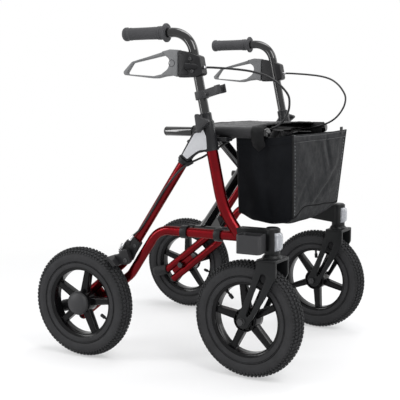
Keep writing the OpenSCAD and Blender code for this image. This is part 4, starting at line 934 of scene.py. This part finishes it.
# Depth, size and level of the rumples; depth, place, width and pitch of the puckers beside the rails
SEAT_RUMPLES = ((1.6, 55, 0), (0.8, 22, 9))
PUCKER_DEEP, PUCKER_Y, PUCKER_WIDE, PUCKER_PITCH = 1.4, 190.0, 12.0, 9.0
# Radius of hem and seam; rows from the edge, points left out at each end, and lift of a seam
SEAT_HEM_R, SEAM_R, SEAM_ROW, SEAM_SKIP, SEAM_LIFT = 2.6, 0.7, 3, 18, 1.6


def seat_section():
    """Cross section as (y, z): round the right rail, over the crown and round the left rail."""
    wrap = [SEAT_WRAP + (math.pi / 2 - SEAT_WRAP) * k / WRAP_STEPS for k in range(WRAP_STEPS)]
    near = [(-RAIL_Y - SEAT_R * math.cos(a), RAIL_Z + SEAT_R * math.sin(a)) for a in wrap]
    top = []
    for k in range(TOP_STEPS + 1):
        s = 2 * k / TOP_STEPS - 1
        top.append((s * RAIL_Y, RAIL_Z + SEAT_R + SEAT_CROWN * (1 - s * s)))
    return near + top + [(-y, z) for y, z in near[::-1]]


def seat_points(section):
    """Points of the seat, row by row from the rear edge to the front one."""
    points, depth = [], SEAT_X[1] - SEAT_X[0]
    for i in range(SEAT_ROWS + 1):
        t = i / SEAT_ROWS
        for y, z in section:
            bow = 1 - min(1.0, abs(y) / RAIL_Y) ** 2
            x = SEAT_X[0] + REAR_BOW * bow * (1 - t) + depth * t - FRONT_BOW * bow * t
            sag = sum(deep * noise.noise(Vector((x, y, level)) / size) for deep, size, level in SEAT_RUMPLES)
            near_rail = math.exp(-((abs(y) - PUCKER_Y) / PUCKER_WIDE) ** 2)
            sag += PUCKER_DEEP * near_rail * math.sin(x / PUCKER_PITCH)
            points.append((x, y, z + sag * bow ** 0.5))
    return points


def across(o):
    """Bakes a piece of the seat's placement into its mesh."""
    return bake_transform(o)


def thick(o, gauge):
    """Gives a sheet its thickness."""
    m = o.modifiers.new("gauge", "SOLIDIFY")
    m.thickness = gauge * MM
    m.offset = 0.0
    return o


section = seat_section()
row_len = len(section)
points = seat_points(section)
seat_geo = points, grid_faces(SEAT_ROWS, row_len - 1)
seat = emit("seat", seat_geo, SEAT, None, replaces=("seat_sling",), sharp=70.0)
across(thick(seat, SEAT_GAUGE))
hems, seams = [], []
for i, row in enumerate((0, SEAT_ROWS)):
    edge = points[row * row_len:(row + 1) * row_len]
    hems.append(across(emit(f"seat_hem_{i}", sweep(edge, SEAT_HEM_R, 8), WEBBING, None)))
for i, row in enumerate((SEAM_ROW, SEAT_ROWS - SEAM_ROW)):
    line = points[row * row_len + SEAM_SKIP:(row + 1) * row_len - SEAM_SKIP]
    line = [(x, y, z + SEAM_LIFT) for x, y, z in line]
    seams.append(across(emit(f"seat_seam_{i}", sweep(line, SEAM_R, 6), THREAD, None)))


# Bag. Its panels are 0 right, 1 front, 2 left and 3 back

# Corners of rim and foot as (x, y), and their heights at the back and the front
TOP = [(190, -223), (342, -219), (342, 219), (190, 223)]
FOOT = [(183, -190), (333, -187), (328, 186), (183, 190)]
TOP_Z, FOOT_Z = (620.5, 630), (419, 412)
# The rim rises from this share of the side on, and dips in the middle of the front and the back
RISE_FROM, FRONT_DIP, BACK_DIP = 0.45, 2.5, 12.0
BAG_COLS, BAG_ROWS, BAG_GAUGE = (36, 72, 36, 72), 48, 1.8
OUTWARDS = [Vector((0, -1, 0)), Vector((1, 0, 0)), Vector((0, 1, 0)), Vector((-1, 0, 0))]
# Bulge of each panel, and how fast bulge and folds fade towards the seams, the rim and the foot
BULGES, SEAM_POWER, RIM_FADE, FOOT_FADE = (5, 5, 5, -8), 0.6, 0.12, 0.06
# Shares of a half wave: the bulge's run from rim to foot, and a fold's start and run
BULGE_SHARE, FOLD_START_SHARE, FOLD_RUN_SHARE = 0.9, 0.1, 0.8
# Depth and size of the rumples
BAG_RUMPLES = ((1.5, 52), (0.5, 19))
# Height of the lower edge along the front and the sides: share of the way and rise
FRONT_LIFTS = [(0, 1), (0.24, 22), (0.62, 13), (0.95, 4), (1, 2)]
SIDE_SAGS = [(0, 0), (0.28, -14), (0.6, -17.5), (0.86, -12), (1, 0)]
# Bottom: belly near the front with its place and width, sag of the middle with its rumple, sharpness of edge
BELLY, BELLY_AT, BELLY_WIDE = 11.0, 0.93, 0.12
BOTTOM_SAG, BOTTOM_RUMPLE, BOTTOM_RUMPLE_SIZE, EDGE_POWER = 10.0, 2.5, 40.0, 16
# Folds of each panel: start and end as shares of its width and height, then width and depth in mm
FOLDS = {
    0: [((0.52, 0.14), (0.5, 0.5), 9, -5.5), ((0.3, 0.3), (0.42, 0.7), 20, 5),
        ((0.2, 0.98), (0.5, 0.6), 18, 5), ((0.5, 0.55), (0.62, 0.98), 14, -5),
        ((0.84, 0.25), (0.8, 0.95), 16, 4)],
    1: [((0.86, 0.4), (0.36, 0.92), 15, 6.5), ((0.9, 0.5), (0.44, 0.97), 12, -5),
        ((0.6, 0.08), (0.7, 0.45), 11, -4.5), ((0.5, 0.12), (0.62, 0.5), 13, 3),
        ((0.62, 0.7), (0.95, 0.62), 12, 3.5), ((0.12, 0.25), (0.3, 0.62), 24, 2.5),
        ((0.02, 0.98), (0.3, 0.6), 13, -3.5)],
    2: [((0.3, 0.2), (0.5, 0.9), 22, 4)],
    3: [((0.2, 0.2), (0.6, 0.9), 30, 2), ((0.8, 0.2), (0.55, 0.8), 26, -4)],
}
# Rows of the hem: share of the height and distance out
HEM_ROWS = [(0, 0.6), (0.02, 1.6), (0.05, 1.7), (0.09, 1.6), (0.1, 0.4)]
# Radius and steps of the seams' piping; radius, steps and inward set of the painted fold shadow along the
# front's lower edge
PIPING_R, PIPING_STEPS, FOLD_R, FOLD_STEPS, FOLD_IN = 3.0, 60, 2.2, 80, 0.4
# Stitches: heights of the hem's rows and places of the front's seams as shares, then their fine steps
HEM_STITCH_ROWS, SEAM_PLACES, HEM_STEPS, SEAM_STEPS = (0.022, 0.095), (0.025, 0.975), 400, 300
HEM_STITCH_OUT, SEAM_STITCH_OUT = 2.0, 0.9
TAB_LOW, TAB_HIGH = (340.5, 166, 618), (344.5, 184, 639)
# Straps: place, width, radius round the rail, gauge, height of the sewn end and length of its point, then
# the inner end's distance from the rail, the bow across, and the loop's first angle and step in degrees
STRAP_X, STRAP_W, STRAP_R, STRAP_GAUGE, STRAP_DROP, STRAP_TIP = 253.0, 34.0, 16.2, 2.2, 600.0, 14.0
STRAP_BACK, STRAP_BOW, LOOP_FROM, LOOP_STEP = 14.0, 0.8, 200, 20
# Strap below its loop: distance out from the rail's middle and down from it
STRAP_FALL = [(10, 20), (3.5, 27)]
STRAP_END_OUT = 2.0


def ramp(pairs, t):
    """Smooth value at t of a list of (place, value) pairs."""
    for (a, u), (b, v) in zip(pairs, pairs[1:]):
        if t <= b:
            k = (t - a) / (b - a)
            k = k * k * (3 - 2 * k)
            return u + (v - u) * k
    return pairs[-1][1]


def on_edge(corners, panel, s):
    """Place at share s along a panel's edge."""
    a, b = Vector(corners[panel]), Vector(corners[(panel + 1) % 4])
    return a + (b - a) * s


def forward(panel, s):
    """How far forward a place on a panel is, from 0 at the back to 1 at the front."""
    return (s, 1.0, 1 - s, 0.0)[panel]


def rim_at(panel, s):
    """Point of the bag's upper edge."""
    p = on_edge(TOP, panel, s)
    back, front = TOP_Z
    z = back + (front - back) * max(0.0, (forward(panel, s) - RISE_FROM) / (1 - RISE_FROM)) ** 2
    z -= (0.0, FRONT_DIP, 0.0, BACK_DIP)[panel] * math.sin(math.pi * s)
    return Vector((p.x, p.y, z))


def foot_at(panel, s, lifted=True):
    """Point of the bag's lower edge, with or without the lift of the front."""
    p = on_edge(FOOT, panel, s)
    back, front = FOOT_Z
    rise = forward(panel, s)
    z = back + (front - back) * rise
    if panel in (0, 2):
        z += ramp(SIDE_SAGS, rise)
    if panel == 1 and lifted:
        z += ramp(FRONT_LIFTS, s)
    return Vector((p.x, p.y, z))


def fold_height(panel, here, width, tall):
    """Height of a panel's folds at a place on it."""
    total = 0.0
    for start, end, wide, deep in FOLDS[panel]:
        a, b = (Vector((s * width, v * tall)) for s, v in (start, end))
        t = max(0.0, min(1.0, (here - a).dot(b - a) / (b - a).length_squared))
        away = (here - a - (b - a) * t).length
        along = math.sin(math.pi * (FOLD_START_SHARE + FOLD_RUN_SHARE * t)) ** 0.5
        total += deep * math.exp(-(away / wide) ** 2) * along
    return total


def wall_point(panel, s, v, out=0.0):
    """A point of the bag's wall, bulged, folded and rumpled, moved out by so much."""
    p = rim_at(panel, s).lerp(foot_at(panel, s), v)
    width = (rim_at(panel, 1.0) - rim_at(panel, 0.0)).length
    tall = (rim_at(panel, 0.5) - foot_at(panel, 0.5)).length
    pin = math.sin(math.pi * s) ** SEAM_POWER if 0 < s < 1 else 0.0
    pin *= min(1.0, v / RIM_FADE) * min(1.0, (1 - v) / FOOT_FADE)
    bulge = BULGES[panel] * math.sin(math.pi * (v * BULGE_SHARE))
    bulge += fold_height(panel, Vector((s * width, v * tall)), width, tall)
    bulge += sum(deep * noise.noise(p / size) for deep, size in BAG_RUMPLES)
    return p + OUTWARDS[panel] * (bulge * pin + out)


def bottom_point(s, t):
    """A point of the sagging bottom, s from back to front and t from right to left."""
    right, left = foot_at(0, s), foot_at(2, 1 - s)
    front, back = foot_at(1, t, lifted=False), foot_at(3, 1 - t)
    corners = (foot_at(0, 0.0) * (1 - s) * (1 - t) + foot_at(0, 1.0) * s * (1 - t)
               + foot_at(2, 0.0) * s * t + foot_at(2, 1.0) * (1 - s) * t)
    p = right * (1 - t) + left * t + back * (1 - s) + front * s - corners
    inside = 0 < s < 1 and 0 < t < 1
    hollow = (math.sin(math.pi * s) * math.sin(math.pi * t)) ** 0.5 if inside else 0.0
    edge = s ** EDGE_POWER
    belly = BELLY * math.sin(math.pi * t) ** SEAM_POWER
    belly *= math.exp(-((s - BELLY_AT) / BELLY_WIDE) ** 2) * (1 - edge)
    sag = BOTTOM_SAG + BOTTOM_RUMPLE * noise.noise(p / BOTTOM_RUMPLE_SIZE)
    p.z += ramp(FRONT_LIFTS, t) * edge - belly - hollow * sag
    return p


def bag_mesh():
    """Walls as one band of panels, closed below by the bottom, with shared points at the seams."""
    points, faces, index = [], [], {}

    def put(p):
        key = tuple(round(c, 3) for c in p)
        if key not in index:
            index[key] = len(points)
            points.append(tuple(p))
        return index[key]

    for panel, cols in enumerate(BAG_COLS):
        wall = [[put(wall_point(panel, i / cols, j / BAG_ROWS)) for i in range(cols + 1)]
                for j in range(BAG_ROWS + 1)]
        faces += [(wall[j][i], wall[j + 1][i], wall[j + 1][i + 1], wall[j][i + 1])
                  for j in range(BAG_ROWS) for i in range(cols)]
    rows, cols = BAG_COLS[:2]
    base = [[put(bottom_point(i / rows, j / cols)) for j in range(cols + 1)] for i in range(rows + 1)]
    faces += [(base[i][j], base[i][j + 1], base[i + 1][j + 1], base[i + 1][j])
              for i in range(rows) for j in range(cols)]
    return tidy(points, faces)


def hem(panel):
    """The doubled cloth along a panel's upper edge."""
    cols = BAG_COLS[panel] * 2
    n = cols + 1
    points = [wall_point(panel, i / cols, v, out) for v, out in HEM_ROWS for i in range(n)]
    faces = [(j * n + i, (j + 1) * n + i, (j + 1) * n + i + 1, j * n + i + 1)
             for j in range(len(HEM_ROWS) - 1) for i in range(cols)]
    return points, faces


def dashes(line, length, gap, r):
    """Stitches along a line of points."""
    parts, run, on, start = [], 0.0, True, Vector(line[0])
    last = Vector(line[0])
    for q in line[1:]:
        run += (q - last).length
        if run >= (length if on else gap):
            if on:
                parts.append(sweep([start, q], r, 5))
            on, run, start = not on, 0.0, q
        last = q
    return join(*parts)


def hem_stitches(panel):
    """Two rows of stitches along a panel's hem."""
    rows = []
    for v in HEM_STITCH_ROWS:
        line = [wall_point(panel, i / HEM_STEPS, v, HEM_STITCH_OUT) for i in range(HEM_STEPS + 1)]
        rows.append(dashes(line, length=3.4, gap=2.2, r=0.5))
    return join(*rows)


def seam_stitches(s):
    """A row of stitches down the front."""
    line = [wall_point(1, s, i / SEAM_STEPS, SEAM_STITCH_OUT) for i in range(SEAM_STEPS + 1)]
    return dashes(line, length=3.0, gap=5.5, r=0.6)


def strap(side):
    """A webbing loop over a rail with its end sewn to the bag's side."""
    sign = -1 if side == "right" else 1
    path = [(RAIL_Y - STRAP_BACK, STRAP_DROP)]
    for degrees in range(LOOP_FROM, -1, -LOOP_STEP):
        a = math.radians(degrees)
        path.append((RAIL_Y + STRAP_R * math.cos(a), RAIL_Z + STRAP_R * math.sin(a)))
    path += [(RAIL_Y + out, RAIL_Z - down) for out, down in STRAP_FALL]
    path.append((RAIL_Y + STRAP_END_OUT, STRAP_DROP))
    points = []
    for y, z in path:
        points += [(STRAP_X - STRAP_W / 2, sign * y, z), (STRAP_X, sign * (y + STRAP_BOW), z),
                   (STRAP_X + STRAP_W / 2, sign * y, z)]
    points[-2] = (STRAP_X, points[-2][1], STRAP_DROP - STRAP_TIP)
    return points, grid_faces(len(path) - 1, 2)


bag_geo = bag_mesh()
bag = thick(emit("bag_body", bag_geo, CLOTH, None, replaces=("bag",), sharp=75.0), BAG_GAUGE)
trim = [emit("bag_hem", join(*[hem(panel) for panel in range(4)]), CLOTH, None, sharp=70.0)]
for i, (panel, s) in enumerate(((1, 0.0), (1, 1.0), (3, 0.0), (3, 1.0))):
    seam = [wall_point(panel, s, j / PIPING_STEPS) for j in range(PIPING_STEPS + 1)]
    trim.append(emit(f"bag_piping_{i}", sweep(seam, PIPING_R, 10), WEBBING, None))
# A near-black rod along the front's lower fold is painted shade for the fold's shadow
fold_shadow = sweep([wall_point(1, i / FOLD_STEPS, 1.0, -FOLD_IN) for i in range(FOLD_STEPS + 1)], FOLD_R, 8)
side_stitches = join(hem_stitches(0), hem_stitches(2))
front_seams = join(*[seam_stitches(s) for s in SEAM_PLACES])
for name, geo, material in (("bag_fold_shadow", fold_shadow, FOLD_SHADOW),
                            ("bag_side_stitches", side_stitches, WEBBING),
                            ("bag_front_stitches", hem_stitches(1), HEM_THREAD),
                            ("bag_seam_stitches", front_seams, PALE_THREAD),
                            ("bag_tab", block(TAB_LOW, TAB_HIGH, 1.2), WEBBING)):
    trim.append(emit(name, geo, material, None))
for o in [bag, *trim]:
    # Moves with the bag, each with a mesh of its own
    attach(o, "bag")
    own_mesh(o)
for side in SIDES:
    o = thick(emit(side + "_bag_strap", strap(side), WEBBING, "bag", sharp=80.0), STRAP_GAUGE)
    if side == "left":
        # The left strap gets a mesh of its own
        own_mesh(o)
    trim.append(o)


# Brake cables: the right one's route, repeated from the CAD model, in millimetres

CABLE = [
    (127.4, -275, 800), (150, -275, 799), (200, -273, 795), (245, -268, 789), (280, -258, 779),
    (305, -248, 764), (322, -240, 747), (334, -233, 728), (335, -228, 708), (329, -221, 688),
    (315, -214, 667), (296, -209, 652), (272, -206, 642), (240, -206, 634), (205, -207, 629),
    (175, -210, 620), (152, -220, 603), (130, -240, 587), (108, -252, 571), (94, -263, 563),
    (78, -275, 554), (58, -284, 539), (34, -286, 514), (0, -285, 472), (-36, -285, 417),
    (-68, -285, 372), (-92, -285, 350), (-104, -285, 336),
]
CABLE_D = 5.5
cable_path = spline(CABLE, 8)
for side in SIDES:
    sheath = sweep(cable_path, CABLE_D / 2, 14)
    cable = emit("cable", sheath, SHEATH, None, side, replaces=("brake_cable",))
    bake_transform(cable)


# Studio: pale floor, white surroundings and soft light

WORLD_COLOUR, WORLD_STRENGTH, WHITE = (0.97, 0.98, 1, 1), 0.55, (1, 1, 1, 1)
FLOOR_COLOUR, FLOOR_HALF = (0.9, 0.9, 0.905, 1), 30.0
# The floor fades into white between these distances, from this share of white on
FADE_FROM, FADE_TO, FADE_START = 0.75, 1.7, 0.45
# Place, target, size and power of each softbox
SOFTBOXES = {
    "key": ((1.9, -0.9, 2.3), (0.1, 0.0, 0.4), (1.4, 1.2), 35.0),
    "rim": ((1.3, 1.3, 1.2), (0.1, 0.0, 0.5), (0.3, 1.9), 8.0),
    "bounce": ((1.7, -1.3, 0.12), (0.1, 0.0, 0.45), (1.2, 0.3), 5.0),
    "top": ((0.2, 0.3, 3.0), (0.0, 0.0, 0.3), (1.0, 2.0), 34.0),
    "strip": ((-1.5, -1.5, 1.3), (0.0, 0.0, 0.5), (0.3, 2.0), 22.0),
}


def seen_as(nt, lit, seen):
    """One shader for the light, and another for what the camera and the reflections see."""
    rays = add(nt, "LightPath", {}).outputs
    factor = largest(nt, [rays["Is " + kind + " Ray"] for kind in ("Camera", "Glossy", "Transmission")])
    return add(nt, "MixShader", {0: factor, 1: lit, 2: seen}).outputs[0]


def studio_world():
    """Soft light from all round, seen as plain white."""
    world = bpy.data.worlds.new("studio")
    nt = blank(world)
    soft = add(nt, "Background", {"Color": WORLD_COLOUR, "Strength": WORLD_STRENGTH}).outputs[0]
    white = add(nt, "Background", {"Color": WHITE, "Strength": 1.0}).outputs[0]
    add(nt, "OutputWorld", {"Surface": seen_as(nt, soft, white)})
    return world


def floor_material():
    """A pale floor that fades into white away from the object."""
    m, nt, coord = shader("floor")
    pale = add(nt, "BsdfDiffuse", {"Color": FLOOR_COLOUR}).outputs[0]
    glow = add(nt, "Emission", {"Strength": 1.0}).outputs[0]
    away = add(nt, "VectorMath", {0: coord}, operation="LENGTH").outputs["Value"]
    fade = span(nt, away, FADE_START, 1.0, FADE_FROM, FADE_TO)
    faded = add(nt, "MixShader", {0: fade, 1: pale, 2: glow}).outputs[0]
    add(nt, "OutputMaterial", {"Surface": seen_as(nt, pale, faded)})
    return m


def studio_floor():
    """The floor, which belongs to the stage and not to the part."""
    mesh = bpy.data.meshes.new("floor")
    corners = [(x * FLOOR_HALF, y * FLOOR_HALF, 0.0) for x, y in BLOCK_CORNERS]
    mesh.from_pydata(corners, [], [(0, 1, 2, 3)])
    mesh.materials.append(floor_material())
    floor = bpy.data.objects.new("floor", mesh)
    scene.collection.objects.link(floor)


def softbox(name, place, target, size, power):
    """One soft light, turned to its target."""
    data = bpy.data.lights.new(name, "AREA")
    data.shape = "RECTANGLE"
    data.size, data.size_y = size
    data.energy = power
    o = bpy.data.objects.new(name, data)
    o.location = place
    o.rotation_euler = (Vector(target) - Vector(place)).to_track_quat("-Z", "Y").to_euler()
    scene.collection.objects.link(o)


scene.world = studio_world()
studio_floor()
for name, settings in SOFTBOXES.items():
    softbox(name, *settings)
